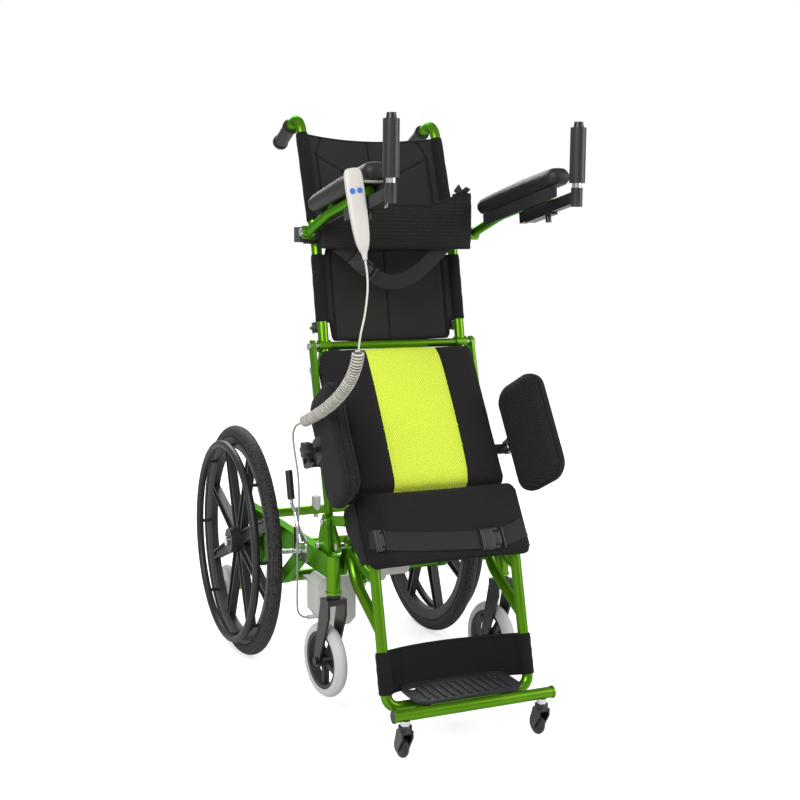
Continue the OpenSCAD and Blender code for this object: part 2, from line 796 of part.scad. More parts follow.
module seat_frame() {
    color(green) place() difference() {
        union() {
            both() across(arm_in, arm_out) seat_arm2d();
            seat_frame_axes() {
                for (s = member_s) translate([-arm_in - 1, s - member_w / 2, pan_n - 22])
                    cube([2 * arm_in + 2, member_w, 22]);
                translate([8 - cushion_w / 2, pan_s, pan_n - 1])
                    cube([cushion_w - 16, cushion_end - 6 - pan_s, pan_t + 1]);
            }
            for (s = [-1, 1]) translate([24 * s, 0, 0]) across(-3, 3) ram_cheek2d();
        }
        both() seat_frame_axes() translate([arm_in - 2, hip_bar_s - 14, pan_n - 13]) cube([40, 28, 10]);
        pin(ram_eye, -18, 18, eye_d + 2 * ram_play - 1);
    }
}

// Cheek that the rod eye works in, with room for its play
module ram_cheek2d() {
    difference() {
        union() {
            translate(ram_eye) circle(d = 42);
            polygon([seat_at(member_s[1] - 12, pan_n - 18), seat_at(member_s[1] + 12, pan_n - 18),
                ram_eye + 20 * seat_d, ram_eye - 20 * seat_d]);
        }
        translate(ram_eye) circle(d = ram_pin_d + 2 * ram_play);
    }
}

// Cushion surface over the width and length, as shares from -1 to 1
function strip_seam(u) = exp(-pow((abs(u) * cushion_w / 2 - strip_w / 2) / 7, 2));
function cushion_top(u, v) =
    cushion_t + cushion_crown * (1 - u * u) * (1 - 0.6 * pow(v, 8)) - 3 * strip_seam(u);

module seat_cushion() {
    nx = 24;
    ny = 14;
    us = [for (i = [0 : nx]) let (a = -1 + 2 * i / nx) sign(a) * pow(abs(a), 0.8)];
    vs = [for (j = [0 : ny]) let (a = -1 + 2 * j / ny) sign(a) * pow(abs(a), 0.7)];
    draw = 5;
    cell = function(i, j) j * (nx + 1) + i;
    half_w = cushion_w / 2;
    half_l = cushion_l / 2;
    shrink = function(t) 1 - 0.05 * pow(abs(t), 10);
    top = [for (v = vs) for (u = us) [(half_w - draw) * u * shrink(v), (half_l - draw) * v * shrink(u),
        cushion_top(u, v) - 12 * max(pow(abs(u), 24), pow(abs(v), 24))]];
    edge = concat([for (i = [0 : nx]) [i, 0]], [for (j = [1 : ny]) [nx, j]],
        [for (i = [nx - 1 : -1 : 0]) [i, ny]], [for (j = [ny - 1 : -1 : 1]) [0, j]]);
    count = len(edge);
    base = len(top);
    rim = function(k, out, z) [for (e = edge) let (u = us[e[0]], v = vs[e[1]])
        [(half_w - out) * u * shrink(v), (half_l - out) * v * shrink(u), z]];
    walls = concat(rim(0, 0, cushion_t * 0.62), rim(0, draw / 2, 0));
    points = concat(top, walls, [[0, 0, 0]]);
    faces = concat(
        [for (j = [0 : ny - 1]) for (i = [0 : nx - 1])
            each [[cell(i, j), cell(i, j + 1), cell(i + 1, j)],
                [cell(i + 1, j), cell(i, j + 1), cell(i + 1, j + 1)]]],
        [for (k = [0 : count - 1]) let (e = edge[k], f = edge[(k + 1) % count], a = cell(e[0], e[1]),
            b = cell(f[0], f[1]), c = base + k, d = base + (k + 1) % count)
            each [[a, b, c], [b, d, c]]],
        [for (k = [0 : count - 1]) let (a = base + k, b = base + (k + 1) % count)
            each [[a, b, a + count], [b, b + count, a + count]]],
        [for (k = [0 : count - 1]) [base + count + k, base + count + (k + 1) % count, base + 2 * count]]);
    color("#1d1d1f") place() seat_frame_axes() difference() {
        translate([0, cushion_s + half_l, pan_n + pan_t])
            polyhedron(points = points, faces = faces, convexity = 6);
        both() translate([lug_in - 8, -10, pan_n - 10]) cube([40, pan_s, 8 - pan_n]);
    }
}

module knee_belt() {
    panel_n = 30;
    panel_thick = 26;
    wing_in = arm_in - 7;
    color("#1d1d1f") place() seat_frame_axes() {
        translate([0, knee_s + knee_l / 2, panel_n + panel_thick / 2])
            pillow(2 * arm_in - 4, knee_l, panel_thick, 24, 6);
        both() translate([wing_in, 0, 0]) rotate([90, 0, 90]) linear_extrude(arm_in - wing_in)
            polygon([[knee_s + 2, panel_n + 16], [knee_s + knee_l - 14, panel_n + 14],
                [knee_s + knee_l - 20, 10],
                [knee_s + 60, -36], [knee_s + 20, -40], [knee_s + 2, -20]]);
    }
}

module hip_brackets() {
    color(black) place() both() seat_frame_axes() {
        translate([arm_in - 60, hip_bar_s - 12, pan_n - 12]) cube([hip_pin_x + 6 - arm_in + 60, 24, 8]);
        for (e = [-1, 1]) translate([hip_pin_x, hip_bar_s + 12 * e, hip_pin_n]) rotate([90, 0, 0])
            translate([0, 0, -4]) cylinder(h = 8, d = 14);
        for (e = [-1, 1]) translate([hip_pin_x - 6, hip_bar_s + 12 * e - 4, pan_n - 6])
            cube([12, 8, hip_pin_n - pan_n + 6]);
        translate([hip_pin_x, hip_bar_s + 16, hip_pin_n]) rotate([90, 0, 0])
            cylinder(h = 32, d = hip_pin_d);
    }
}

module hip_axes(swing) {
    seat_frame_axes() translate([hip_pin_x, 0, hip_pin_n]) rotate([0, swing, 0])
        translate([-hip_pin_x, 0, -hip_pin_n]) children();
}

module hip_pad(swing) {
    plate_x = hip_in + hip_t;
    color(black) hip_axes(swing) difference() {
        union() {
            translate([hip_in + hip_t / 2, hip_s + hip_l / 2, hip_h / 2]) rotate([0, 90, 0])
                pillow(hip_h, hip_l, hip_t, 46, 2);
            translate([plate_x - 3, hip_bar_s - 30, 0]) cube([7, 60, 60]);
            translate([plate_x, hip_bar_s - 7, hip_pin_n]) cube([4, 14, 30]);
            translate([hip_pin_x, hip_bar_s + 7, hip_pin_n]) rotate([90, 0, 0]) cylinder(h = 14, d = 15);
            translate([plate_x + 3, hip_bar_s, 24]) rotate([0, 90, 0]) cylinder(h = 16, d = 14);
            translate([plate_x + 18, hip_bar_s, 24]) rotate([0, 90, 0]) knob();
        }
        translate([hip_pin_x, hip_bar_s + 20, hip_pin_n]) rotate([90, 0, 0])
            cylinder(h = 40, d = hip_pin_d + 2 * run);
    }
}

// Hand knob with rounded lobes
module knob() {
    linear_extrude(22) {
        circle(d = 32);
        for (i = [0 : 5]) rotate(60 * i) translate([15, 0]) circle(d = 11);
    }
}

module hip_pad_left() { place() on_left() hip_pad(hip_swing); }

module hip_pad_right() { place() on_right() hip_pad(0); }

module parallel_links() {
    color(green) place() both() across(link_in, link_out) difference() {
        union() {
            strap2d(hinge + link_v, pivot + link_v, bar_w - 8);
            strap2d(pivot + link_v, knee + link_v, bar_w - 8);
        }
        for (p = [hinge, pivot, knee]) translate(p + link_v) circle(d = bolt_d + 2 * run);
    }
}

// Lift actuator, with x across, y square to the barrel and z along it

module ram_axes() { translate([0, ram_foot[0], ram_foot[1]]) rotate([90 - ram_a, 0, 0]) children(); }

module actuator_body() {
    color(pale) place() ram_axes() difference() {
        union() {
            translate([0, 0, 18]) cylinder(h = barrel_l - 18, d = barrel_d);
            translate([-11, -13, 0]) cube([22, 26, 30]);
            rotate([0, 90, 0]) translate([0, 0, -11]) cylinder(h = 22, d = 26);
            translate([-24, -30, 26]) cube([48, 60, 56]);
            translate([20, -6, 54]) rotate([0, 90, 0]) cylinder(h = 62, d = 46);
            translate([74, -6, 54]) rotate([0, 90, 0]) cylinder(h = 12, d1 = 46, d2 = 36);
        }
        translate([0, 0, 90]) cylinder(h = barrel_l, d = ram_d + 2 * run);
        rotate([0, 90, 0]) translate([0, 0, -30]) cylinder(h = 60, d = ram_pin_d + 2 * run);
    }
}

module actuator_rod() {
    color(chrome) place() ram_axes() {
        translate([0, 0, 170]) cylinder(h = ram_l - 170 - 8, d = ram_d);
        translate([0, 0, ram_l]) rotate([0, 90, 0]) {
            translate([0, 0, -15]) cylinder(h = 30, d = eye_d);
            translate([0, 0, -33]) cylinder(h = 66, d = ram_pin_d);
            for (x = [-33, 29]) translate([0, 0, x]) cylinder(h = 4, d = 20);
        }
    }
}

// Back frame, panels and belt

hinge_hub = cane_d / 2 + 2;
lug_in = cane_x - 4;
lug_out = cane_x + 4;

module back_frame() {
    color(green) place() difference() {
        union() {
            both() {
                bent([at_x(cane_x, hinge - 14 * lower_u), at_x(cane_x, cane_knee),
                    at_x(cane_x, handle_corner),
                    at_x(cane_x, handle_end)], [0, 60, handle_bend, 0], cane_d);
                across(lug_in, lug_out) strap2d(hinge, hinge + link_v, bar_w);
                pin(hinge, cane_x - hinge_hub, cane_x + hinge_hub, bar_w);
            }
            pin(hinge, -cane_x, cane_x, 20);
        }
        both() pin(hinge, cane_x - 14, arm_in, bolt_d);
        both() pin(hinge + link_v, cane_x - 30, arm_in, bolt_d);
    }
}

module back_bolts() {
    color(chrome) place() both() {
        pin(hinge, cane_x - 14, arm_out + 7, bolt_d);
        pin(hinge, cane_x + hinge_hub, arm_in - side, bolt_d + 6);
        pin(hinge, arm_out + side, arm_out + 7, bolt_d + 7);
        pin(hinge + link_v, lug_in - 6, link_out + 4, bolt_d);
        pin(hinge + link_v, lug_in - 6, lug_in, bolt_d + 7);
        pin(hinge + link_v, lug_out, link_in - side, bolt_d + 6);
        pin(hinge + link_v, link_out + side, link_out + 4, bolt_d + 6);
    }
}

module push_grips() {
    start = 18;
    color(black) place() both() difference() {
        union() {
            rod(at_x(cane_x, handle_start + start * handle_u), at_x(cane_x, handle_end + 7 * handle_u),
                push_d);
            for (s = [start + 2, handle_l - 4]) rod(at_x(cane_x, handle_start + s * handle_u),
                at_x(cane_x, handle_start + (s + 7) * handle_u), push_d + 5);
        }
        rod(at_x(cane_x, handle_start), at_x(cane_x, handle_end), cane_d);
    }
}

// Cross section of a sling between the canes: a sleeve on each cane and a sagging band
module sling2d(sag) {
    half = cane_x;
    difference() {
        union() {
            for (s = [-1, 1]) translate([s * half, 0]) circle(d = cane_d + 6);
            sling_band2d(sag, half, panel_t);
        }
        for (s = [-1, 1]) translate([s * half, 0]) circle(d = cane_d + slip);
    }
}

// The sagging band alone, out to a half width
module sling_band2d(sag, half, thick) {
    arc_r = (cane_x * cane_x + sag * sag) / (2 * sag);
    intersection() {
        translate([-half, -thick]) square([2 * half, sag + 3 * thick]);
        translate([0, sag - arc_r]) difference() {
            circle(r = arc_r + thick / 2, $fn = 128);
            circle(r = arc_r - thick / 2, $fn = 128);
        }
    }
}

// Middle pad that runs on past the sleeves, a little thinner than the band
module tongue(sag, from, to) {
    half = cane_x - cane_d / 2 - 14;
    translate([0, 0, from]) linear_extrude(to - from) sling_band2d(sag, half, panel_t - 1);
}

module back_panel_upper() {
    gap = 62;
    color("#1d1d1f") place() cane_axes(cane_knee, upper_lean) {
        translate([0, 0, gap]) linear_extrude(upper_cane - gap - 6) sling2d(panel_sag);
        tongue(panel_sag, 4, gap + 20);
    }
}

module back_panel_lower() {
    foot = 58;
    sag = panel_sag * 0.7;
    color("#1d1d1f") place() cane_axes(hinge, lower_lean) {
        translate([0, 0, foot]) linear_extrude(lower_cane - foot - 22) sling2d(sag);
        tongue(sag, 14, foot + 20);
        tongue(sag, lower_cane - 42, lower_cane - 4);
    }
}

module arm_clamps() {
    w = cane_d + 14;
    color(black) place() both() difference() {
        union() {
            translate([cane_x - w / 2, clamp_c[0] - w / 2, clamp_c[1] - clamp_l / 2])
                cube([arm_x - arm_d / 2 - 2 - cane_x + w / 2, w, clamp_l]);
            across(arm_x - arm_d / 2 - 14, arm_x - arm_d / 2 - 2) {
                strap2d(clamp_c, arm_pivot, 32);
            }
            translate([cane_x, clamp_c[0] - 6, clamp_c[1] - 18]) cube([arm_x - cane_x + 4, w / 2 + 22, 36]);
        }
        cane_axes(cane_knee, upper_lean) translate([cane_x, 0, -40])
            cylinder(h = 140, d = cane_d + tube_skin + slip);
        pin(arm_pivot, cane_x, arm_x, bolt_d);
    }
}

module arm_bolts() {
    color(chrome) place() both() {
        pin(arm_pivot, arm_x - arm_d / 2 - 20, arm_x + arm_d / 2 + 8, bolt_d);
        pin(arm_pivot, arm_x + arm_d / 2 + 2, arm_x + arm_d / 2 + 8, bolt_d + 8);
        pin(arm_pivot, arm_x - arm_d / 2 - 20, arm_x - arm_d / 2 - 14, bolt_d + 7);
    }
}

// Chest belt: a padded band across the front, and its hanging strap with a buckle
belt_y = arm_pivot[0] - 52;
belt_z = clamp_c[1] - 32;

module chest_belt() {
    in_y = clamp_c[0] - (cane_d + 14) / 2;
    out = cane_x + 4;
    color("#1d1d1f") place() difference() {
        chest_belt_whole(in_y, out);
        both() rod(at_x(cane_x, hinge), at_x(cane_x, cane_knee + 12 * lower_u), cane_d + 2);
    }
}

module chest_belt_whole(in_y, out) {
    union() {
        translate([0, 0, belt_z]) linear_extrude(belt_h) {
            both() polygon([[out - belt_t, in_y], [out, in_y], [out, belt_y + 30], [out + 11, belt_y + 10],
                [out + 8, belt_y], [out - 4, belt_y], [out - belt_t, belt_y + 30]]);
            translate([-out, belt_y - belt_t / 2]) square([2 * out, belt_t]);
        }
        translate([0, belt_y + belt_t / 2 + 2, 0]) rotate([90, 0, 0]) linear_extrude(2) chest_strap2d();
        translate([-92, belt_y + belt_t / 2 + 5, belt_z - 42]) rotate([90, 35, 0]) linear_extrude(9)
            translate([-22, -18]) square([44, 36]);
    }
}

module chest_strap2d() {
    drop = [[-160, 10], [-110, -30], [-60, -74], [-20, -72], [40, -42], [110, -14], [168, 12]];
    for (i = [0 : len(drop) - 2]) strap2d(drop[i] + [0, belt_z], drop[i + 1] + [0, belt_z], 25);
}

// Arms

module arm_tube() {
    rise = arm_at(150, tube_v);
    color(green) difference() {
        union() {
            bent([at_x(arm_x, arm_pivot), at_x(arm_x, rise),
                at_x(arm_x, arm_at(socket_u0 + socket_l - 3, tube_v))], 120, arm_d);
            pin(arm_pivot, arm_x - arm_d / 2 - 1.5, arm_x + arm_d / 2 + 1.5, 30);
            arm_axes() {
                translate([arm_x - slide_w / 2 - socket_wall, socket_u0,
                    slide_v - slide_h / 2 - socket_wall])
                    cube([slide_w + 2 * socket_wall, socket_l, slide_h + 2 * socket_wall]);
                translate([arm_x, socket_u0 + socket_l - 20, slide_v - slide_h / 2 - socket_wall - 14])
                    cylinder(h = 16, d = 13);
                for (u = [pad_u0 + 90, pad_u0 + 270]) translate([arm_x - 8, u, tube_v])
                    cube([16, 26, pad_v0 - tube_v]);
            }
        }
        arm_axes() translate([arm_x - slide_w / 2 - slide, socket_u0 - 1, slide_v - slide_h / 2 - slide])
            cube([slide_w + 2 * slide, socket_l + 2, slide_h + 2 * slide]);
        pin(arm_pivot, arm_x - arm_d, arm_x + arm_d, bolt_d + 2 * run);
    }
}

module arm_tube_left() { place() on_left() arm_tube(); }

module arm_tube_right() { place() on_right() arm_tube(); }

module arm_pad() {
    color(black) arm_axes() difference() {
        translate([arm_x, pad_u0 + pad_l / 2, pad_v0 + pad_t / 2]) pillow(pad_w, pad_l, pad_t, 24, 1);
        translate([arm_x - pad_w, pad_u0, pad_v0 - 1]) cube([2 * pad_w, pad_l, 1]);
    }
}

module arm_pad_left() { place() on_left() arm_pad(); }

module arm_pad_right() { place() on_right() arm_pad(); }

module grip_bar() {
    end_u = grip_ahead / cos(arm_rise);
    color(black) {
        arm_axes() translate([arm_x - slide_w / 2, socket_u0 - 32, slide_v - slide_h / 2])
            cube([slide_w, end_u - socket_u0 + 32, slide_h]);
        translate([arm_x, grip_y, grip_foot_z - 20]) cylinder(h = 40, d = 25);
        translate([arm_x, grip_y, grip_foot_z]) cylinder(h = grip_h - 8, d = 20);
        translate([arm_x, grip_y, grip_foot_z + 30]) cylinder(h = grip_h - 42, d = grip_d);
        translate([arm_x, grip_y, grip_foot_z + grip_h - 14]) cylinder(h = 14, d1 = 24, d2 = 19);
    }
}

module grip_bar_left() { place() on_left() grip_bar(); }

module grip_bar_right() { place() on_right() grip_bar(); }

// Leg frame, calf strap and foot parts

module leg_frame() {
    bar = [bar_y, bar_z];
    stay_x = plate_w / 2 - 30;
    color(green) place() difference() {
        union() {
            bent([at_x(leg_x, leg_top), at_x(leg_x, leg_foot), at_x(-leg_x, leg_foot),
                at_x(-leg_x, leg_top)], leg_bend, leg_d);
            both() {
                bent([at_x(leg_x, knee + [8, 18]), at_x(leg_x, knee + [-18, -72]),
                    at_x(leg_x, brace_foot)], 90, leg_d);
                rod(at_x(leg_x, knee + [-8, -18]), at_x(leg_x, leg_top + 40 * leg_u), leg_d - 5);
                across(leg_x + 5, leg_x + leg_d / 2 + 2) strap2d(knee, knee + link_v, bar_w);
                rod(at_x(stay_x, leg_foot), at_x(stay_x, bar), leg_d - 5);
            }
            pin(knee + [-4, -50], -leg_x, leg_x, leg_d - 5);
            pin(bar, -foot_bar / 2, foot_bar / 2, leg_d);
            both() pin(bar, foot_bar / 2, foot_bar / 2 + 5, leg_d + 3);
            both() translate([toe_track / 2, bar_y, bar_z - leg_d / 2 - 10]) cylinder(h = 12, d = 22);
        }
        both() for (p = [knee, knee + link_v]) pin(p, leg_x - 30, arm_in, bolt_d);
        both() translate([toe_track / 2, bar_y, 0]) cylinder(h = bar_z, d = 10 + 2 * run);
    }
}

module leg_bolts() {
    face = leg_x + leg_d / 2 + 2;
    low_head = 1.4;
    color(chrome) place() both() {
        pin(knee, leg_x - 20, arm_out + low_head, bolt_d);
        pin(knee, leg_x - 20, leg_x - leg_d / 2, bolt_d + 6);
        pin(knee, face, arm_in - side, bolt_d + 6);
        pin(knee, arm_out + side, arm_out + low_head, bolt_d + 7);
        pin(knee + link_v, leg_x - 2, link_out + low_head, bolt_d);
        pin(knee + link_v, leg_x - 2, leg_x + 5, bolt_d + 6);
        pin(knee + link_v, face, link_in - side, bolt_d + 6);
        pin(knee + link_v, link_out + side, link_out + low_head, bolt_d + 6);
    }
}

module calf_strap() {
    sag = 78;
    arc_r = (leg_x * leg_x + sag * sag) / (2 * sag);
    low = leg_bend + 1.5;
    color("#1d1d1f") place() translate([0, leg_foot[0], leg_foot[1]]) rotate([-leg_lean, 0, 0])
        translate([0, 0, low]) linear_extrude(calf_h) difference() {
            union() {
                for (s = [-1, 1]) translate([s * leg_x, 0]) circle(d = leg_d + 8);
                intersection() {
                    translate([-leg_x, -6]) square([2 * leg_x, sag + 20]);
                    translate([0, sag - arc_r]) difference() {
                        circle(r = arc_r + 4, $fn = 128);
                        circle(r = arc_r - 4, $fn = 128);
                    }
                }
            }
            for (s = [-1, 1]) translate([s * leg_x, 0]) circle(d = leg_d + slip);
        }
}

module foot_plate() {
    front = bar_y + 6;
    color(black) place() difference() {
        union() {
            translate([0, front, plate_z]) linear_extrude(7) plate2d();
            for (i = [-5 : 5]) translate([i * plate_w / 13 - 3, front + 12, plate_z + 6])
                cube([6, plate_l - 44, 4]);
            both() translate([plate_w / 2 - 42, leg_foot[0] - 9, leg_foot[1] + leg_d / 2])
                cube([24, 18, plate_z - leg_foot[1] - leg_d / 2 + 1]);
        }
        both() translate([plate_w / 2 - 30, front + plate_l - 30, plate_z - 20]) rotate(-24) eye(40);
    }
}

// Footplate outline: straight toe edge, rounded sides
module plate2d() {
    r = 34;
    translate([-plate_w / 2 + r, 0]) square([plate_w - 2 * r, plate_l]);
    translate([-plate_w / 2, r]) square([plate_w, plate_l - 2 * r]);
    for (sx = [-1, 1]) for (y = [r, plate_l - r]) translate([sx * (plate_w / 2 - r), y]) circle(r = r);
}

// Almond hole where two round cutters cross
module eye(h) {
    intersection() {
        translate([0, -18, 0]) cylinder(h = h, r = 28);
        translate([0, 18, 0]) cylinder(h = h, r = 28);
    }
}

toe_z = toe_d / 2;
toe_fork = toe_w / 2 + 1;

module toe_axes(s) { translate([s * toe_track / 2, bar_y, 0]) children(); }

module foot_caster_fork(s) {
    top = bar_z - leg_d / 2 - 10;
    color(black) place() toe_axes(s) {
        translate([0, 0, top - 14]) cylinder(h = 30, d = 10);
        translate([0, 0, top - 12]) cylinder(h = 12 - side, d = 30);
        both() across(toe_fork, toe_fork + 4) toe_leg2d(top);
        translate([-toe_fork - 1, -14, top - 16]) cube([2 * toe_fork + 2, 28, 6]);
        pin([toe_trail, toe_z], -toe_fork - 3, toe_fork + 3, 8);
    }
}

module toe_leg2d(top) {
    translate([toe_trail, toe_z]) circle(d = 22);
    polygon([[-14, top - 10], [14, top - 10], [toe_trail + 11, toe_z + 4], [toe_trail + 9, toe_z - 6],
        [toe_trail - 9, toe_z - 6], [-14, top - 26]]);
}

module foot_caster_fork_left() { foot_caster_fork(1); }

module foot_caster_fork_right() { foot_caster_fork(-1); }

module foot_caster_wheel(s) {
    color(black) place() toe_axes(s) translate([0, toe_trail, toe_z]) rotate([0, 90, 0]) difference() {
        union() {
            rotate_extrude() translate([toe_d / 2 - toe_w / 2, 0]) circle(d = toe_w);
            translate([0, 0, -toe_w / 2]) cylinder(h = toe_w, d = toe_d - toe_w);
        }
        translate([0, 0, -toe_w]) cylinder(h = 2 * toe_w, d = 8 + 2 * run);
    }
}

module foot_caster_wheel_left() { foot_caster_wheel(1); }

module foot_caster_wheel_right() { foot_caster_wheel(-1); }

// Handset, with x across its face, y into it and z down its length reversed

module set_axes() {
    place() translate([set_x, set_top[0], set_top[1]]) rotate([set_tilt, set_lean, -set_yaw]) children();
}

module handset_case() {
    r = 9;
    color("#e6e2d6") set_axes() difference() {
        union() {
            hull() {
                for (x = [-1, 1]) for (y = [-1, 1]) {
                    translate([x * (set_w / 2 - r), y * (set_t / 2 - r), -r]) sphere(r = r, $fn = 24);
                    translate([x * (set_w / 2 - r), y * (set_t / 2 - r), -0.45 * set_l])
                        sphere(r = r, $fn = 24);
                    translate([x * (set_w / 2 - r - 4), y * (set_t / 2 - r - 1), r - set_l])
                        sphere(r = r, $fn = 24);
                }
            }
            translate([0, 0, -set_l - 16]) cylinder(h = 24, d1 = 9, d2 = 15);
        }
        for (x = key_x) translate([x, -set_t / 2 - 2, -key_s]) rotate([-90, 0, 0])
            cylinder(h = 7, d = key_d + 2 * slide);
        translate([0, 0, -set_l - 17]) cylinder(h = 13, d = cord_d);
    }
    color("#e6e2d6") set_hook();
}

// Flat hanger from the case to the underside of the arm pad
module set_hook() {
    hook_w = 16;
    hook_t = 4;
    hook_u = (arm_pivot[0] - set_top[0]) / cos(arm_rise);
    place() arm_axes() translate([set_x + 12, hook_u - hook_w / 2, pad_v0 - hook_t])
        cube([-arm_x + 10 - set_x - 12, hook_w, hook_t]);
}

module key(x) {
    color("royalblue") set_axes() translate([x, -set_t / 2 - 2, -key_s]) rotate([-90, 0, 0])
        cylinder(h = 5, d = key_d);
}

module button_up() { key(key_x[0]); }

module button_down() { key(key_x[1]); }

// Cords

module cord_lead() { color(pale) place() sweep(smooth(lead_route, 4), cord_d, 8); }

function bezier(p, t) =
    pow(1 - t, 3) * p[0] + 3 * t * pow(1 - t, 2) * p[1] + 3 * t * t * (1 - t) * p[2] + pow(t, 3) * p[3];
coil_r = (curl_d - cord_d) / 2;
coil_steps = 8;
coil_count = curls * coil_steps;
// Share of the bend left straight at each end, and how much closer the curls lie near the far end
coil_tail = 0.02;
coil_crowd = 0.1;
coil_t = function(i) let (t = i / coil_count)
    coil_tail + (1 - 2 * coil_tail) * (t + coil_crowd * t * (1 - t));
coil_up = function(t) unit(bezier(coil_bend, min(1, t + 0.01)) - bezier(coil_bend, max(0, t - 0.01)));
coil_ramp = function(i) min(1, min(i, coil_count - i) / coil_steps / 1.2);
coil_point = function(i) let (t = coil_t(i), f = coil_up(t), e = [1, 0, 0], g = cross(f, e),
    a = 360 * i / coil_steps,
    r = coil_r * coil_ramp(i)) bezier(coil_bend, t) + r * (cos(a) * e + sin(a) * g);
coil_path = concat([coil_bend[0]], [for (i = [0 : coil_count]) coil_point(i)], [coil_bend[3]]);
coil_gap = min([for (i = [0 : coil_count - coil_steps]) for (k = [coil_steps - 2 : coil_steps + 2])
    i + k <= coil_count ? norm(coil_path[i] - coil_path[i + k]) - cord_d : 99]);
echo(least_gap_between_curls = coil_gap);

module cord_coil() { color(pale) place() sweep(coil_path, cord_d, 6); }

module cord_cable() { color(pale) place() sweep(smooth(cable_route, 5), cord_d, 8); }

base_side_left();
base_side_right();
base_cross_tubes();
base_bolts();
control_box();
rail_bumper();
brake_brackets();
rear_tyre_left();
rear_tyre_right();
rear_wheel_left();
rear_wheel_right();
caster_fork_left();
caster_fork_right();
caster_tyre_left();
caster_tyre_right();
caster_rim_left();
caster_rim_right();
anti_tip_wheel_left();
anti_tip_wheel_right();
brake_lever_left();
brake_lever_right();
brake_shoe_left();
brake_shoe_right();
seat_frame();
seat_cushion();
knee_belt();
hip_brackets();
hip_pad_left();
hip_pad_right();
parallel_links();
actuator_body();
actuator_rod();
back_frame();
back_bolts();
push_grips();
back_panel_upper();
back_panel_lower();
arm_clamps();
arm_bolts();
chest_belt();
arm_tube_left();
arm_tube_right();
arm_pad_left();
arm_pad_right();
grip_bar_left();
grip_bar_right();
leg_frame();
leg_bolts();
calf_strap();
foot_plate();
foot_caster_fork_left();
foot_caster_fork_right();
foot_caster_wheel_left();
foot_caster_wheel_right();
handset_case();
button_up();
button_down();
cord_lead();
cord_coil();
cord_cable();
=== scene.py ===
# %% [markdown]
# # Dressing a standing wheelchair
# The solids already stand in the right place. This lesson adds the camera, the
# studio, the handset's curly cord, the finishes and all the soft goods.

# %% Load the frame
import json
import math

import bmesh
import bpy
from mathutils import Matrix, Vector
from mathutils.bvhtree import BVHTree


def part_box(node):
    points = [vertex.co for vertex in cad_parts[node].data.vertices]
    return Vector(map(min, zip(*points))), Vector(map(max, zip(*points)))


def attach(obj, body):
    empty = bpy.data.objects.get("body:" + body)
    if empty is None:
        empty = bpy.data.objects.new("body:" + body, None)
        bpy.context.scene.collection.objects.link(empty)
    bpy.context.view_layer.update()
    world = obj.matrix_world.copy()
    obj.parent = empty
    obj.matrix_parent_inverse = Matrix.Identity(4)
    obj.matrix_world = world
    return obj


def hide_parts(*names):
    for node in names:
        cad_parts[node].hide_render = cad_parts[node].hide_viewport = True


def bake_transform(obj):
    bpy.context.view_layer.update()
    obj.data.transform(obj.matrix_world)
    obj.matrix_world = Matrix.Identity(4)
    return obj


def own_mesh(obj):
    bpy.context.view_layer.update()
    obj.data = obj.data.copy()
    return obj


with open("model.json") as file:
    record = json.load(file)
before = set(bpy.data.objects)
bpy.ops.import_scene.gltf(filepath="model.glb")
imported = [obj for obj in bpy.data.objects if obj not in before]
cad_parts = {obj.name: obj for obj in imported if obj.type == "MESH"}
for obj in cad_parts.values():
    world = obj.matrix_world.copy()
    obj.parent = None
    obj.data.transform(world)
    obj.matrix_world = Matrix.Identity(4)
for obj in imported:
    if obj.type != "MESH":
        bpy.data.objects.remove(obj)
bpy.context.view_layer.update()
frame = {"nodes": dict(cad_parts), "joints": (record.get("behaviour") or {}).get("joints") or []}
nodes = frame["nodes"]
joints = {j["name"]: j for j in frame["joints"]}


def joint_at(name):
    return Vector(joints[name]["pos_m"])


pivot = joint_at("seat_lift")

# %% [markdown]
# The chair was photographed from its front right, a little above the seat, with a
# long lens. The camera stands on that line of sight; its small turn about its own
# axis levels the floor as the photograph shows it. It was measured with the seat's
# pivot at one place along the chair, so it moves along with that pivot.

# %% Camera
PHOTO_PIVOT_Y = -0.495
LENGTH_SHIFT = pivot.y - PHOTO_PIVOT_Y
ahead = Vector((0.40889, 0.90339, -0.12924)).normalized()
right = ahead.cross(Vector((0, 0, 1))).normalized()
up = right.cross(ahead)
camera = bpy.data.objects.new("camera", bpy.data.cameras.new("camera"))
bpy.context.scene.collection.objects.link(camera)
turn = Matrix((right, up, -ahead)).transposed().to_4x4() @ Matrix.Rotation(math.radians(0.485), 4, "Z")
camera.matrix_world = Matrix.Translation((-1.2555, -3.1945 + LENGTH_SHIFT, 1.1161)) @ turn
camera.data.sensor_width = 36
camera.data.lens = 57.18
bpy.context.scene.camera = camera
print("camera at", [round(c, 3) for c in camera.matrix_world.translation])

# %% [markdown]
# A studio sweep is a pale floor that runs into a pale wall without a seam. A curved
# backdrop could do it, but other views would see its end. Here a wide floor meets a
# white sky, and the sky lights the chair with only half of the white that is seen, so
# that black cloth stays black. Big soft lamps give the long highlights on the tubes.

# %% Studio


def lamp(name, spot, target, size, power):
    data = bpy.data.lights.new(name, "AREA")
    data.size = size
    data.energy = power
    item = bpy.data.objects.new(name, data)
    bpy.context.scene.collection.objects.link(item)
    item.location = spot
    item.rotation_euler = (Vector(target) - Vector(spot)).to_track_quat("-Z", "Y").to_euler()


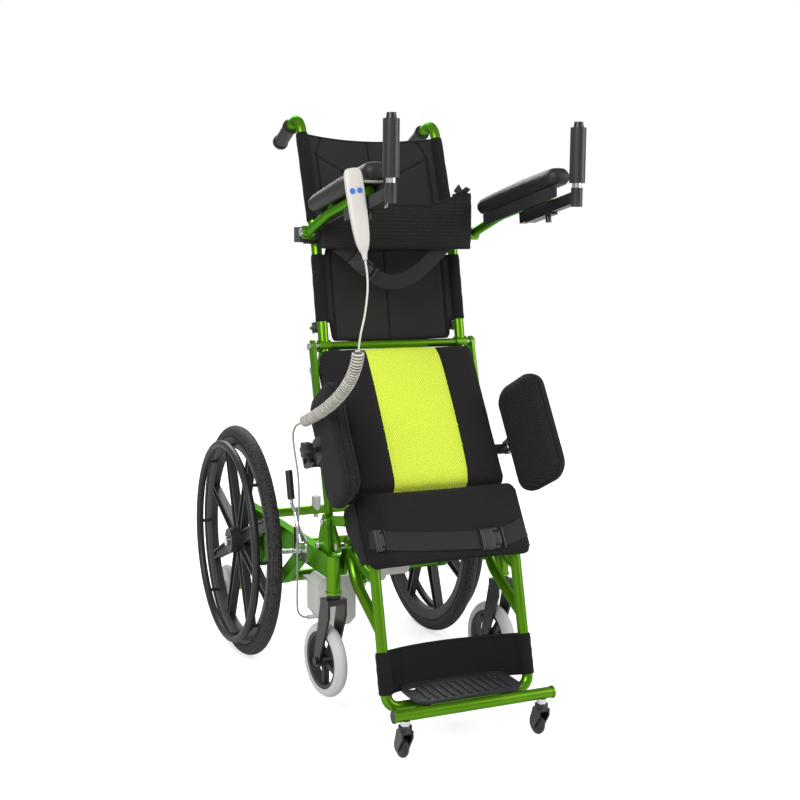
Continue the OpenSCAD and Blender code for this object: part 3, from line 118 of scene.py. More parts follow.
lamp("key", (-2.6, -2.4, 3.0), (0, 0, 0.7), 2.2, 120)
lamp("fill", (2.8, -2.2, 2.0), (0, 0, 0.7), 2.4, 55)
lamp("back", (0.4, 2.8, 2.8), (0, 0, 0.9), 2.0, 70)
AMBIENT = 0.5
world = bpy.data.worlds.new("studio")
bpy.context.scene.world = world
world.use_nodes = True
sky = world.node_tree
soft_light = sky.nodes["Background"]
soft_light.inputs["Color"].default_value = (1, 1, 1, 1)
soft_light.inputs["Strength"].default_value = AMBIENT
paper_white = sky.nodes.new("ShaderNodeBackground")
paper_white.inputs["Color"].default_value = (1, 1, 1, 1)
seen = sky.nodes.new("ShaderNodeLightPath")
either = sky.nodes.new("ShaderNodeMixShader")
sky.links.new(seen.outputs["Is Camera Ray"], either.inputs["Fac"])
sky.links.new(soft_light.outputs["Background"], either.inputs[1])
sky.links.new(paper_white.outputs["Background"], either.inputs[2])
sky.links.new(either.outputs["Shader"], sky.nodes["World Output"].inputs["Surface"])
bpy.context.scene.view_settings.view_transform = "Standard"
print("lamps 3")

# %% [markdown]
# Every piece here is a list of points and faces in metres. Ready-made shapes could be
# cut and bent instead, but with points set directly each seam and edge falls where it
# is wanted. Many pieces are a skin over rings of points, as a tube along a path is.

# %% Build and loft


def build(name, parts, materials):
    points, faces, marks = [], [], []
    for verts, polys, mark in parts:
        base = len(points)
        points += [tuple(v) for v in verts]
        faces += [tuple(base + i for i in f) for f in polys]
        marks += [mark] * len(polys)
    mesh = bpy.data.meshes.new(name)
    mesh.from_pydata(points, [], faces)
    for m in materials:
        mesh.materials.append(m)
    mesh.polygons.foreach_set("material_index", marks)
    mesh.polygons.foreach_set("use_smooth", [True] * len(faces))
    mesh.validate()
    edit = bmesh.new()
    edit.from_mesh(mesh)
    bmesh.ops.recalc_face_normals(edit, faces=edit.faces)
    edit.to_mesh(mesh)
    edit.free()
    item = bpy.data.objects.new(name, mesh)
    bpy.context.scene.collection.objects.link(item)
    return item


def loft(verts, n, closed=False, mark=0):
    last = len(verts) - n
    faces = []
    for g in range(0, len(verts) if closed else last, n):
        for j in range(n):
            a, b = g + j, g + (j + 1) % n
            faces.append((a, b, (b + n) % len(verts), (a + n) % len(verts)))
    if not closed:
        faces += [tuple(range(n))[::-1], tuple(range(last, last + n))]
    return verts, faces, mark


def tube(path, radius, sides, closed=False, mark=0):
    path = [Vector(p) for p in path]
    last = len(path) - 1
    radii = radius if isinstance(radius, list) else [radius] * len(path)
    verts, side = [], None
    for i, p in enumerate(path):
        before = path[i - 1] if closed or i else p
        after = path[(i + 1) % len(path)] if closed or i < last else p
        along = (after - before).normalized()
        if side is None:
            side = along.orthogonal().normalized()
        side = (side - along * side.dot(along)).normalized()
        other = along.cross(side)
        for j in range(sides):
            a = 2 * math.pi * j / sides
            verts.append(p + radii[i] * (math.cos(a) * side + math.sin(a) * other))
    return loft(verts, sides, closed, mark)


print("build, loft and tube ready")

# %% [markdown]
# A pad starts as a block. Its top and bottom are grids of points, rounded at the edges,
# with a crown on top and sides drawn in a little, as a sewn cover does. A bevelled box
# could do, but would not have the even grid that helps the cloth pass.

# %% Block and placing helpers


def block(w, l, t, plan, edge, crown=0.0, draw=0.0, step=0.012, under=0.0):
    counts = [max(4, round(s / step)) for s in (w, l)] + [max(2, round((t - 2 * edge) / step))]
    index, verts, faces = {}, [], []

    def vert(i, j, k):
        key = (i, j, k)
        if key in index:
            return index[key]
        x, y = (i / counts[0] - 0.5) * w, (j / counts[1] - 0.5) * l
        inside = min(w / 2 - abs(x), l / 2 - abs(y))
        z = (2 * k / counts[2] - 1) * (t / 2 - edge)
        if k in (0, counts[2]):
            soft = max(0.0, edge - inside)
            z = math.copysign(t / 2 - edge + math.sqrt(max(0.0, edge * edge - soft * soft)), z)
        qx, qy = abs(x) - (w / 2 - plan), abs(y) - (l / 2 - plan)
        if qx > 0 and qy > 0:
            share = max(qx, qy) / math.hypot(qx, qy)
            x = math.copysign(w / 2 - plan + qx * share, x)
            y = math.copysign(l / 2 - plan + qy * share, y)
        fx, fy = 1 - (2 * x / w) ** 2, 1 - (2 * y / l) ** 2
        if k == counts[2]:
            z += crown * max(0, fx) * max(0, fy) ** 0.5
        if k == 0:
            z -= under * max(0, fx) * max(0, fy) ** 0.5
        index[key] = len(verts)
        verts.append(Vector((x * (1 - draw * fy), y * (1 - draw * fx), z)))
        return index[key]

    a, b, c = counts
    for i in range(a):
        for j in range(b):
            faces.append((vert(i, j, c), vert(i + 1, j, c), vert(i + 1, j + 1, c), vert(i, j + 1, c)))
            faces.append((vert(i, j, 0), vert(i, j + 1, 0), vert(i + 1, j + 1, 0), vert(i + 1, j, 0)))
    for k in range(c):
        for i in range(a):
            faces.append((vert(i, 0, k), vert(i + 1, 0, k), vert(i + 1, 0, k + 1), vert(i, 0, k + 1)))
            faces.append((vert(i, b, k), vert(i, b, k + 1), vert(i + 1, b, k + 1), vert(i + 1, b, k)))
        for j in range(b):
            faces.append((vert(0, j, k), vert(0, j, k + 1), vert(0, j + 1, k + 1), vert(0, j + 1, k)))
            faces.append((vert(a, j, k), vert(a, j + 1, k), vert(a, j + 1, k + 1), vert(a, j, k + 1)))
    return verts, faces


def moved(shape, matrix, mark=0):
    return [matrix @ Vector(v) for v in shape[0]], shape[1], mark


def axes(origin, x, y, z):
    m = Matrix((x, y, z)).transposed().to_4x4()
    m.translation = Vector(origin)
    return m


def mirrored(parts):
    return [([Vector((-v[0], v[1], v[2])) for v in verts], [f[::-1] for f in faces], mark)
            for verts, faces, mark in parts]


def slab(line, x0, x1, place):
    return loft([place @ Vector((x, a, b)) for x in (x0, x1) for a, b in line], len(line))


def soften(item, width, segments):
    edge = item.modifiers.new("soften", "BEVEL")
    edge.width = width
    edge.segments = segments


def squarer(value, power):
    return math.copysign(abs(value) ** power, value)


def ease(t):
    t = max(0.0, min(1.0, t))
    return t * t * (3 - 2 * t)


print("block, slab and placing helpers ready")

# %% [markdown]
# The finishes share four effects. A fine grain breaks up paint and plastic, a
# spacer mesh is the airy net of the upholstery, lugs are the small blocks of a tyre's
# tread, and wear finds the edges that hands and feet rub. They could be drawn anew in
# each material, but as node groups a change reaches every finish. With Through at 0
# the net lies flat on the seat's plane, or its cells would ring the cushion's dome.

# %% Shared effects


def effect(name, inputs, outputs):
    tree = bpy.data.node_groups.new(name, "ShaderNodeTree")
    for label, value in inputs.items():
        socket = tree.interface.new_socket(label, in_out="INPUT", socket_type="NodeSocketFloat")
        socket.default_value = value
    for label in outputs:
        tree.interface.new_socket(label, in_out="OUTPUT", socket_type="NodeSocketFloat")
    return tree, tree.nodes.new("NodeGroupInput"), tree.nodes.new("NodeGroupOutput")


def preset(node, sockets):
    for label, value in sockets.items():
        node.inputs[label].default_value = value
    return node


def add(tree, kind, sockets=None, **values):
    node = tree.nodes.new(kind)
    for key, value in values.items():
        setattr(node, key, value)
    return preset(node, sockets or {})


def join(tree, source, out, target, socket):
    tree.links.new(source.outputs[out], target.inputs[socket])


grain, g_in, g_out = effect("fine_grain", {"Scale": 400.0}, ["Height", "Shade"])
spot = add(grain, "ShaderNodeTexCoord")
fine = add(grain, "ShaderNodeTexNoise", {"Detail": 3})
broad = add(grain, "ShaderNodeTexNoise", {"Scale": 9})
join(grain, spot, "Object", fine, "Vector")
join(grain, spot, "Object", broad, "Vector")
join(grain, g_in, "Scale", fine, "Scale")
join(grain, fine, "Fac", g_out, "Height")
join(grain, broad, "Fac", g_out, "Shade")

SEAT_LEAN, NET_SLANT = 58.5, 40
net, n_in, n_out = effect("spacer_mesh", {"Scale": 330.0, "Through": 1.0}, ["Height", "Shade"])
spot = add(net, "ShaderNodeTexCoord")
level = add(net, "ShaderNodeMapping", {"Rotation": (-math.radians(SEAT_LEAN), 0, 0)})
press = add(net, "ShaderNodeCombineXYZ", {"X": 1, "Y": 1})
slant = add(net, "ShaderNodeMapping", {"Rotation": (0, 0, math.radians(NET_SLANT))})
cells = add(net, "ShaderNodeTexVoronoi", feature="DISTANCE_TO_EDGE")
preset(cells, {"Randomness": 0.25})
wall = add(net, "ShaderNodeMapRange", {"From Max": 0.22, "To Min": 1.0, "To Max": 0.0})
join(net, spot, "Object", level, "Vector")
join(net, n_in, "Through", press, "Z")
join(net, press, "Vector", slant, "Scale")
join(net, level, "Vector", slant, "Vector")
join(net, slant, "Vector", cells, "Vector")
join(net, n_in, "Scale", cells, "Scale")
join(net, cells, "Distance", wall, "Value")
join(net, wall, "Result", n_out, "Height")
join(net, wall, "Result", n_out, "Shade")
print("effects", [g.name for g in bpy.data.node_groups])

# %% [markdown]
# Lugs could be cut in the solid one by one. They are only a few millimetres, so square
# cells that stand out of the rubber are enough, and the grooves between them are painted
# darker than the lug tops, as painted shade. Wear could be painted by hand, but how
# sharp an edge is already tells where it rubs.

# %% Lugs and wear
lugs, l_in, l_out = effect("tread_lugs", {"Scale": 190.0}, ["Height", "Shade"])
spot = add(lugs, "ShaderNodeTexCoord")
studs = add(lugs, "ShaderNodeTexVoronoi", feature="F1", distance="CHEBYCHEV")
preset(studs, {"Randomness": 0.35})
raised = add(lugs, "ShaderNodeMapRange", {"From Min": 0.28, "From Max": 0.42, "To Min": 1.0, "To Max": 0.0})
join(lugs, spot, "Object", studs, "Vector")
join(lugs, l_in, "Scale", studs, "Scale")
join(lugs, studs, "Distance", raised, "Value")
join(lugs, raised, "Result", l_out, "Height")
# painted shade: the lug mask also darkens the grooves and lightens the lug tops
join(lugs, raised, "Result", l_out, "Shade")

rub, r_in, r_out = effect("edge_rub", {"Start": 0.53}, ["Mask"])
shape = add(rub, "ShaderNodeNewGeometry")
patchy = add(rub, "ShaderNodeTexNoise", {"Scale": 60})
ramp = add(rub, "ShaderNodeMapRange", {"From Max": 0.62})
both = add(rub, "ShaderNodeMath", operation="MULTIPLY")
join(rub, shape, "Pointiness", ramp, "Value")
join(rub, r_in, "Start", ramp, "From Min")
join(rub, ramp, "Result", both, 0)
join(rub, patchy, "Fac", both, 1)
join(rub, both, "Value", r_out, "Mask")
print("effects", [g.name for g in bpy.data.node_groups])

# %% [markdown]
# A finish is one shader with an effect on its colour, roughness and bump. Paint has
# a clear coat, plated steel is metal, and cloth is rough with a little sheen. Each one
# could be wired by hand. One helper keeps them alike, with what differs on one line.

# %% Finishes
COAT_ROUGH, BUMP_SHARE = 0.08, 0.6


def finish(name, dark, light, rough, scale, depth, group=grain, metal=0.0, coat=0.0, worn=None, sheen=0.0,
    gloss=0.5, through=None):
    m = bpy.data.materials.new(name)
    m.use_nodes = True
    t = m.node_tree
    shader = preset(t.nodes["Principled BSDF"], {"Metallic": metal, "Coat Weight": coat,
        "Coat Roughness": COAT_ROUGH, "Sheen Weight": sheen, "Specular IOR Level": gloss})
    look = add(t, "ShaderNodeGroup", node_tree=group)
    preset(look, {"Scale": scale} if through is None else {"Scale": scale, "Through": through})
    colour = add(t, "ShaderNodeMix", {"A": (*dark, 1), "B": (*light, 1)}, data_type="RGBA")
    join(t, look, "Shade", colour, "Factor")
    if worn:
        edge = add(t, "ShaderNodeGroup", node_tree=rub)
        over = add(t, "ShaderNodeMix", {"B": (*worn, 1)}, data_type="RGBA")
        join(t, edge, "Mask", over, "Factor")
        join(t, colour, "Result", over, "A")
        colour = over
    join(t, colour, "Result", shader, "Base Color")
    vary = add(t, "ShaderNodeMapRange", {"To Min": rough * 0.85, "To Max": min(1.0, rough * 1.15)})
    join(t, look, "Shade", vary, "Value")
    join(t, vary, "Result", shader, "Roughness")
    bump = add(t, "ShaderNodeBump", {"Strength": BUMP_SHARE, "Distance": depth})
    join(t, look, "Height", bump, "Height")
    join(t, bump, "Normal", shader, "Normal")
    return m


green_paint = finish("green_paint", (0.090, 0.240, 0.009), (0.132, 0.320, 0.015), 0.3, 900, 0.00003,
    metal=0.85, coat=0.05, worn=(0.20, 0.42, 0.04))
GREEN_GLINT = (0.25, 0.60, 0.10, 1)
preset(green_paint.node_tree.nodes["Principled BSDF"], {"Specular Tint": GREEN_GLINT})
plated = finish("plated_steel", (0.58, 0.59, 0.60), (0.76, 0.77, 0.78), 0.22, 500, 0.00002, metal=1.0)
black_coat = finish("black_coat", (0.006, 0.006, 0.007), (0.011, 0.011, 0.012), 0.34, 700, 0.00004, coat=0.15,
    worn=(0.05, 0.05, 0.05), gloss=0.4)
black_mould = finish("black_mould", (0.010, 0.010, 0.012), (0.017, 0.017, 0.019), 0.46, 600, 0.0001,
    worn=(0.04, 0.04, 0.045), gloss=0.45)
# the dark colour is painted shade in the grooves between lugs, the light one is the lug tops
tyre_rubber = finish("tyre_rubber", (0.006, 0.006, 0.006), (0.052, 0.050, 0.050), 0.7, 160, 0.005, group=lugs,
    gloss=0.4)
grey_rubber = finish("grey_rubber", (0.46, 0.45, 0.46), (0.57, 0.56, 0.57), 0.6, 300, 0.00008)
pale_shell = finish("pale_shell", (0.52, 0.51, 0.49), (0.60, 0.59, 0.57), 0.42, 500, 0.00005)
ivory_shell = finish("ivory_shell", (0.52, 0.50, 0.46), (0.60, 0.575, 0.535), 0.38, 500, 0.00004)
blue_key = finish("blue_key", (0.03, 0.12, 0.52), (0.05, 0.17, 0.62), 0.35, 500, 0.00003)
# darker cable colour, also put on the curls' flanks as painted shade between the turns
cable_tone_and_curl_shade = finish("cable_tone_and_curl_shade", (0.24, 0.23, 0.21), (0.31, 0.30, 0.27), 0.45, 500, 0.00003)
cord_sheath = finish("cord_sheath", (0.56, 0.53, 0.47), (0.64, 0.61, 0.55), 0.4, 500, 0.00003)
NET_DARK, NET_LIGHT = (0.003, 0.003, 0.003), (0.027, 0.025, 0.025)
black_net = finish("black_net", NET_DARK, NET_LIGHT, 0.9, 230, 0.0009, group=net, sheen=0.02, gloss=0.2)
lime_net = finish("lime_net", (0.50, 0.66, 0.020), (0.84, 0.93, 0.130), 0.85, 230, 0.0008, group=net,
    sheen=0.05, gloss=0.2, through=0.0)
seat_net = finish("seat_net", NET_DARK, NET_LIGHT, 0.9, 230, 0.0009, group=net, sheen=0.02, gloss=0.2,
    through=0.0)
# black cloth, also put along the slings' stitch lines as painted shade in the seams
black_cloth_and_seam_shade = finish("black_cloth_and_seam_shade", (0.005, 0.005, 0.005), (0.011, 0.0105, 0.0105), 0.9, 1500, 0.0002,
    sheen=0.02, gloss=0.2)
back_cloth = finish("back_cloth", (0.010, 0.0095, 0.0092), (0.023, 0.022, 0.0215), 0.85, 1300, 0.0003,
    sheen=0.03, gloss=0.25)
webbing = finish("webbing", (0.008, 0.008, 0.008), (0.016, 0.0155, 0.0155), 0.72, 1100, 0.0003, gloss=0.35)
foam_skin = finish("foam_skin", (0.008, 0.008, 0.009), (0.014, 0.014, 0.015), 0.5, 800, 0.0001, gloss=0.4)
floor_paper = finish("floor_paper", (0.86, 0.86, 0.86), (0.88, 0.88, 0.88), 0.9, 40, 0.00001, gloss=0.0)
print("finishes", len(bpy.data.materials))

# %% [markdown]
# The floor is a wide sheet of paper. It glows a little for the camera alone, by the
# white that the sky's softer light leaves out, so that it meets the white sky with
# no line, and still takes the chair's soft shadow.

# %% Floor
FLOOR = 60
PAPER_TONE = 0.87
floor = build("floor", [([(-FLOOR, -FLOOR, 0), (FLOOR, -FLOOR, 0), (FLOOR, FLOOR, 0), (-FLOOR, FLOOR, 0)],
    [(0, 1, 2, 3)], 0)], [floor_paper])
paper = floor_paper.node_tree
gaze = add(paper, "ShaderNodeLightPath")
lift = add(paper, "ShaderNodeMath", {1: 1 - PAPER_TONE * AMBIENT}, operation="MULTIPLY")
glow = preset(paper.nodes["Principled BSDF"], {"Emission Color": (1, 1, 1, 1)})
join(paper, gaze, "Is Camera Ray", lift, 0)
join(paper, lift, "Value", glow, "Emission Strength")
print("floor", 2 * FLOOR, "m")

# %% [markdown]
# Each carried-over solid takes its finish by name. They could be dressed one at a time,
# but a list for each finish shows at a glance what is painted, plated or moulded.

# %% Dress the solids
SIDES = {"left": 1, "right": -1}
DRESS = {
    green_paint: ["base_side", "base_cross_tubes", "seat_frame", "parallel_links", "back_frame", "arm_tube",
        "leg_frame"],
    plated: ["base_bolts", "back_bolts", "arm_bolts", "leg_bolts", "actuator_rod", "brake_brackets",
        "brake_lever", "brake_shoe"],
    black_coat: ["caster_fork", "hip_brackets", "grip_bar", "foot_caster_fork"],
    black_mould: ["rear_wheel", "caster_rim", "push_grips", "arm_clamps", "foot_plate", "foot_caster_wheel"],
    tyre_rubber: ["rear_tyre"],
    grey_rubber: ["caster_tyre", "anti_tip_wheel"],
    pale_shell: ["control_box", "rail_bumper", "actuator_body"],
    blue_key: ["button_up", "button_down"],
}


def by_name(stem):
    return [nodes[n] for n in [stem] + [f"{stem}_{s}" for s in SIDES] if n in nodes]


dressed = 0
for material, stems in DRESS.items():
    for stem in stems:
        for item in by_name(stem):
            item.data.materials.clear()
            item.data.materials.append(material)
            dressed += 1
print("dressed", dressed)

# %% [markdown]
# Some solids hold a second finish: the grip bars have a bright collar under the sleeve,
# the sockets they slide in are black, and the foot bar has black plugs in its ends and
# bright stems under it. The CAD mesh stays as it is. Only the faces found by where they
# lie take another material slot.

# %% Second finishes


def paint(node, material, test):
    mesh = nodes[node].data
    mesh.materials.append(material)
    found = [f for f in mesh.polygons if test(f.center)]
    for f in found:
        f.material_index = len(mesh.materials) - 1
    return len(found)


GRIP_TALL, COLLAR_LOW, COLLAR_HIGH = 0.158, 0.0205, 0.0298
SOCKET_FROM, SOCKET_TOP = 0.284, 0.0065
BAR_UNDER, PLUG_DEEP = 0.086, 0.0004
forward = Vector(joints["grip_left_slide"]["axis"])
above = Vector((0, forward.z, -forward.y))
repainted = 0
for side in SIDES:
    grip_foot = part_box(f"grip_bar_{side}")[1][2] - GRIP_TALL
    repainted += paint(f"grip_bar_{side}", plated,
        lambda c: grip_foot + COLLAR_LOW < c.z < grip_foot + COLLAR_HIGH)
    start = joint_at(f"arm_{side}_flip")
    repainted += paint(f"arm_tube_{side}", black_coat,
        lambda c: (c - start).dot(forward) > SOCKET_FROM and (c - start).dot(above) < SOCKET_TOP)
bar_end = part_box("leg_frame")[1][0] - PLUG_DEEP
repainted += paint("leg_frame", black_mould, lambda c: abs(c.x) > bar_end)
repainted += paint("leg_frame", plated, lambda c: c.z < BAR_UNDER)
print("faces repainted", repainted)

# %% [markdown]
# The handset hangs on a curly cord. Its lead leaves the case, the curls stretch in an
# arc over the hip pad, and a plain cable runs down to the box under the seat.
# The curls are a helix about a curved line, opened out at both ends. A straight spring
# could be bent to the route, but worked out point by point it meets the lead and the
# cable exactly.

# %% Cord routes


def route(points):
    return [Vector((x / 1000, y / 1000 + LENGTH_SHIFT, z / 1000)) for x, y, z in points]


LEAD = route([(-256, -810, 1063.5), (-254, -816, 1034), (-257, -825, 1000), (-266, -833, 955),
    (-276, -837, 918), (-280, -836, 890)])
COIL = route([(-280, -836, 890), (-280, -826, 800), (-280, -650, 735), (-280, -500, 690)])
CABLE = route([(-280, -500, 690), (-286, -474, 678), (-288, -462, 656), (-286, -464, 625), (-276, -462, 560),
    (-268, -446, 500), (-266, -436, 440), (-264, -424, 380), (-256, -400, 300), (-248, -376, 230),
    (-240, -362, 202), (-226, -356, 188), (-214, -355, 185)])
CORD, CORD_SIDES = 0.0044, 8
CURL, CURLS = 0.027, 46
STEPS = 16
OPEN_TURNS = 1.2
TAIL = 0.02
CROWD = 0.1
FLANK_SHADE_FROM = 0.55


def smooth(p, k):
    out = []
    for i in range(len(p) - 1):
        a, b, c, e = p[max(i - 1, 0)], p[i], p[i + 1], p[min(i + 2, len(p) - 1)]
        for j in range(k):
            t = j / k
            out.append(0.5 * (2 * b + (c - a) * t + (2 * a - 5 * b + 4 * c - e) * t * t
                + (3 * b - a - 3 * c + e) * t ** 3))
    return out + [p[-1]]


def bezier(p, t):
    return (1 - t) ** 3 * p[0] + 3 * t * (1 - t) ** 2 * p[1] + 3 * t * t * (1 - t) * p[2] + t ** 3 * p[3]


def curls():
    count = CURLS * STEPS
    out = []
    for i in range(count + 1):
        t = i / count
        t = TAIL + (1 - 2 * TAIL) * (t + CROWD * t * (1 - t))
        f = (bezier(COIL, min(1, t + 0.01)) - bezier(COIL, max(0, t - 0.01))).normalized()
        e = Vector((1, 0, 0))
        g = f.cross(e)
        a = 2 * math.pi * i / STEPS
        r = (CURL - CORD) / 2 * min(1, min(i, count - i) / STEPS / OPEN_TURNS)
        out.append(bezier(COIL, t) + r * (math.cos(a) * e + math.sin(a) * g))
    return [COIL[0]] + out + [COIL[3]]


def length_of(p):
    return sum((b - a).length for a, b in zip(p, p[1:]))


lead_path = smooth(LEAD, 8)
cable_path = smooth(CABLE, 6)
main_path = curls() + cable_path[1:]
print("lead", round(length_of(lead_path), 3), "curls and cable", round(length_of(main_path), 3))

# %% [markdown]
# The cord is a cable in a pale sheath. A bevelled curve could follow the route, but a
# swept tube lets faces be picked out: in the photograph the plain stretch looks darker,
# and the flanks of the curls are painted darker too, as painted shade where the turns
# shade each other. The lead stays where it is drawn, and the curls and cable are
# carried with the base.

# %% Cords
lead = build("handset_lead", [tube(lead_path, CORD / 2, CORD_SIDES)], [cord_sheath])
main = build("handset_cord", [tube(main_path[::-1], CORD / 2, CORD_SIDES)], [cord_sheath, cable_tone_and_curl_shade])
cable_faces = CORD_SIDES * (len(cable_path) - 1)
for f in main.data.polygons[:cable_faces]:
    f.material_index = 1
last_curl = CURLS * STEPS
# painted shade: flank faces that point along the coil take the darker cable finish
for f in main.data.polygons[cable_faces:]:
    k = min(len(main_path) - 1 - f.index // CORD_SIDES, last_curl)
    along = (main_path[min(k + STEPS, last_curl)] - main_path[max(k - STEPS, 0)]).normalized()
    if abs(f.normal.dot(along)) > FLANK_SHADE_FROM:
        f.material_index = 1
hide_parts("cord_lead")
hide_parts("cord_coil", "cord_cable")
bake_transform(lead)
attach(main, "base")
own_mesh(main)

# %% [markdown]
# Pads are foam in a sewn cover. A short cloth simulation with air pressure inside
# rounds the cover between its seams. A cap on each point's move keeps the form, and the
# plan is drawn back to its size, because the swelling pulls the sides in. Two cloths on
# one pad are told apart before the swelling, so that the line between them stays straight.

# %% Cloth pass
SIM_FRAMES = 20


def plan_box(mesh, local):
    spots = [local @ v.co for v in mesh.vertices]
    return [(min(p[k] for p in spots), max(p[k] for p in spots)) for k in (0, 1)]


def swell(item, voxel, pressure, cap):
    scene = bpy.context.scene
    remesh = item.modifiers.new("remesh", "REMESH")
    remesh.mode = "VOXEL"
    remesh.voxel_size = voxel
    mesh = bpy.data.meshes.new_from_object(item.evaluated_get(bpy.context.evaluated_depsgraph_get()))
    item.modifiers.clear()
    item.data = mesh
    rest = [v.co.copy() for v in mesh.vertices]
    cloth = item.modifiers.new("cloth", "CLOTH")
    cloth.settings.use_pressure = True
    cloth.settings.uniform_pressure_force = pressure
    cloth.settings.effector_weights.gravity = 0
    cloth.point_cache.frame_end = SIM_FRAMES
    for f in range(1, SIM_FRAMES + 1):
        scene.frame_set(f)
    shaped = item.evaluated_get(bpy.context.evaluated_depsgraph_get()).to_mesh()
    moves = [v.co - a for v, a in zip(shaped.vertices, rest)]
    item.modifiers.clear()
    scene.frame_set(1)
    for v, a, step in zip(mesh.vertices, rest, moves):
        v.co = a + step * min(1.0, cap / max(step.length, cap))
    return rest


def puff(item, place, zone=None, voxel=0.006, pressure=4.0, cap=0.005):
    local = place.inverted()
    finishes = list(item.data.materials)
    want = plan_box(item.data, local)
    rest = swell(item, voxel, pressure, cap)
    mesh = item.data
    mesh.materials.clear()
    for m in finishes:
        mesh.materials.append(m)
    rest = rest or [v.co.copy() for v in mesh.vertices]
    for f in mesh.polygons:
        middle = sum((rest[i] for i in f.vertices), Vector()) / len(f.vertices)
        f.material_index = zone(local @ middle) if zone else 0
        f.use_smooth = True
    got = plan_box(mesh, local)
    for v in mesh.vertices:
        p = local @ v.co
        for k in (0, 1):
            p[k] = want[k][0] + (p[k] - got[k][0]) * (want[k][1] - want[k][0]) / (got[k][1] - got[k][0])
        v.co = place @ p
    mesh.update()
    return item


print("cloth pass ready")

# %% [markdown]
# The seat leans with its own axes: s runs down the seat from the back hinge and n
# stands out of it. The pads could be drawn in the room's axes, but every size would
# then be split between y and z.

# %% Seat axes
hinge = joint_at("back_hinge")
up_seat = Vector(joints["hip_pad_left_swing"]["axis"])
down = -up_seat
out = Vector((0, -up_seat.z, up_seat.y))
seat = axes(hinge, (1, 0, 0), down, out)
PAN_TOP = -0.041
CUSHION = (0.402, 0.377, 0.070)
CUSHION_MID = 0.2025
STRIP = 0.095
TOP_EDGE, HUB_ROOM = 0.014, 0.0065
LUG_X, LUG_END, LUG_TOP = 0.167, 0.0505, -0.0015


def at_seat(x, s, n):
    return seat @ Vector((x, s, n))


print("seat hinge", [round(c, 3) for c in hinge])

# %% [markdown]
# The seat cushion is a slab of foam with a lime strip sewn between two black sides.
# Three pads side by side could show it, but one swollen slab with two cloths keeps the
# cover whole. A groove is pressed along both seams, and the upper corners step back from
# the hinge and rise over its lugs.

# %% Seat cushion
SIDE_BAND = 0.02
GROOVE_DEEP, GROOVE_WIDE = 0.004, 0.005
GROOVE_FROM, GROOVE_FADE = 0.035, 0.02
HUB_X, HUB_BLEND = 0.148, 0.014
shape = moved(block(*CUSHION, plan=0.03, edge=0.020, crown=0.020, draw=0.004, step=0.010),
    seat @ Matrix.Translation((0, CUSHION_MID, PAN_TOP + CUSHION[2] / 2)))
cushion = puff(build("seat_cushion_cover", [shape], [seat_net, lime_net]), seat, cap=0.004,
    zone=lambda p: 1 if abs(p.x) < STRIP and p.z > PAN_TOP + SIDE_BAND else 0)
local = seat.inverted()
for v in cushion.data.vertices:
    p = local @ v.co
    top = max(0.0, min(1.0, (p.z - PAN_TOP - GROOVE_FROM) / GROOVE_FADE))
    groove = math.exp(-((abs(p.x) - STRIP) / GROOVE_WIDE) ** 2) * GROOVE_DEEP * top
    p.z = max(p.z - groove, PAN_TOP)
    corner = ease((abs(p.x) - HUB_X) / HUB_BLEND)
    p.y = max(p.y, TOP_EDGE + HUB_ROOM * corner)
    if abs(p.x) > LUG_X and p.y < LUG_END:
        p.z = max(p.z, LUG_TOP)
    v.co = seat @ p
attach(cushion, "seat")
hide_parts("seat_cushion")
print("cushion faces", len(cushion.data.polygons))

# %% [markdown]
# The knee belt is a soft panel across the shins, with a wing on each side that is
# bolted to the seat arms, and a webbing strap with two buckles. The panel goes through
# the cloth pass. The wings are thin, so an outline with soft edges is enough for them.

# %% Knee belt
KNEE = (0.405, 0.174, 0.024)
KNEE_S, KNEE_N = 0.481, 0.044
KNEE_SEAM, SEAM_DEEP, SEAM_WIDE = -0.145, 0.003, 0.004
RIM_X, RIM_S, RIM_FROM = 0.199, 0.086, 0.95
knee_panel = moved(block(*KNEE, plan=0.022, edge=0.010, crown=0.007, draw=0.006, step=0.010),
    seat @ Matrix.Translation((0, KNEE_S, KNEE_N)))


def knee_cloth(p):
    rim = max(abs(p.x) / RIM_X, abs(p.y - KNEE_S) / RIM_S)
    return 1 if p.x < KNEE_SEAM or rim > RIM_FROM else 0


knee = puff(build("knee_panel", [knee_panel], [seat_net, black_cloth_and_seam_shade]), seat, knee_cloth, voxel=0.005,
    cap=0.003)
for v in knee.data.vertices:
    p = local @ v.co
    p.z -= SEAM_DEEP * math.exp(-((p.x - KNEE_SEAM) / SEAM_WIDE) ** 2) * ease((p.z - 0.045) / 0.008)
    v.co = seat @ p
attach(knee, "seat")
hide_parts("knee_belt")
wing_line = [(0.408, 0.044), (0.552, 0.044), (0.548, 0.010), (0.454, -0.036), (0.416, -0.040),
    (0.402, -0.020)]
WING_IN, WING_OUT = 0.1995, 0.2055
wing = slab(wing_line, WING_IN, WING_OUT, seat)
knee_wings = build("knee_wings", [wing] + mirrored([wing]), [black_cloth_and_seam_shade])
soften(knee_wings, 0.0024, 3)
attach(knee_wings, "seat")
print("knee belt done")

# %% [markdown]
# Webbing is a flat woven band of one width. A plane given thickness could show it, but
# a ribbon of rounded section along a line of points keeps its soft edges when seen from
# close by. A buckle is a few rounded blocks side by side.

# %% Webbing
BAND = [(-1, -0.5), (-0.94, -1), (0.94, -1), (1, -0.5), (1, 0.5), (0.94, 1), (-0.94, 1), (-1, 0.5)]


def ribbon(points, across, width, thick):
    verts = []
    points = [Vector(p) for p in points]
    for i, p in enumerate(points):
        along = (points[min(i + 1, len(points) - 1)] - points[max(i - 1, 0)]).normalized()
        side = (Vector(across) - along * Vector(across).dot(along)).normalized()
        face = along.cross(side)
        verts += [p + side * width / 2 * a + face * thick / 2 * b for a, b in BAND]
    return loft(verts, len(BAND))


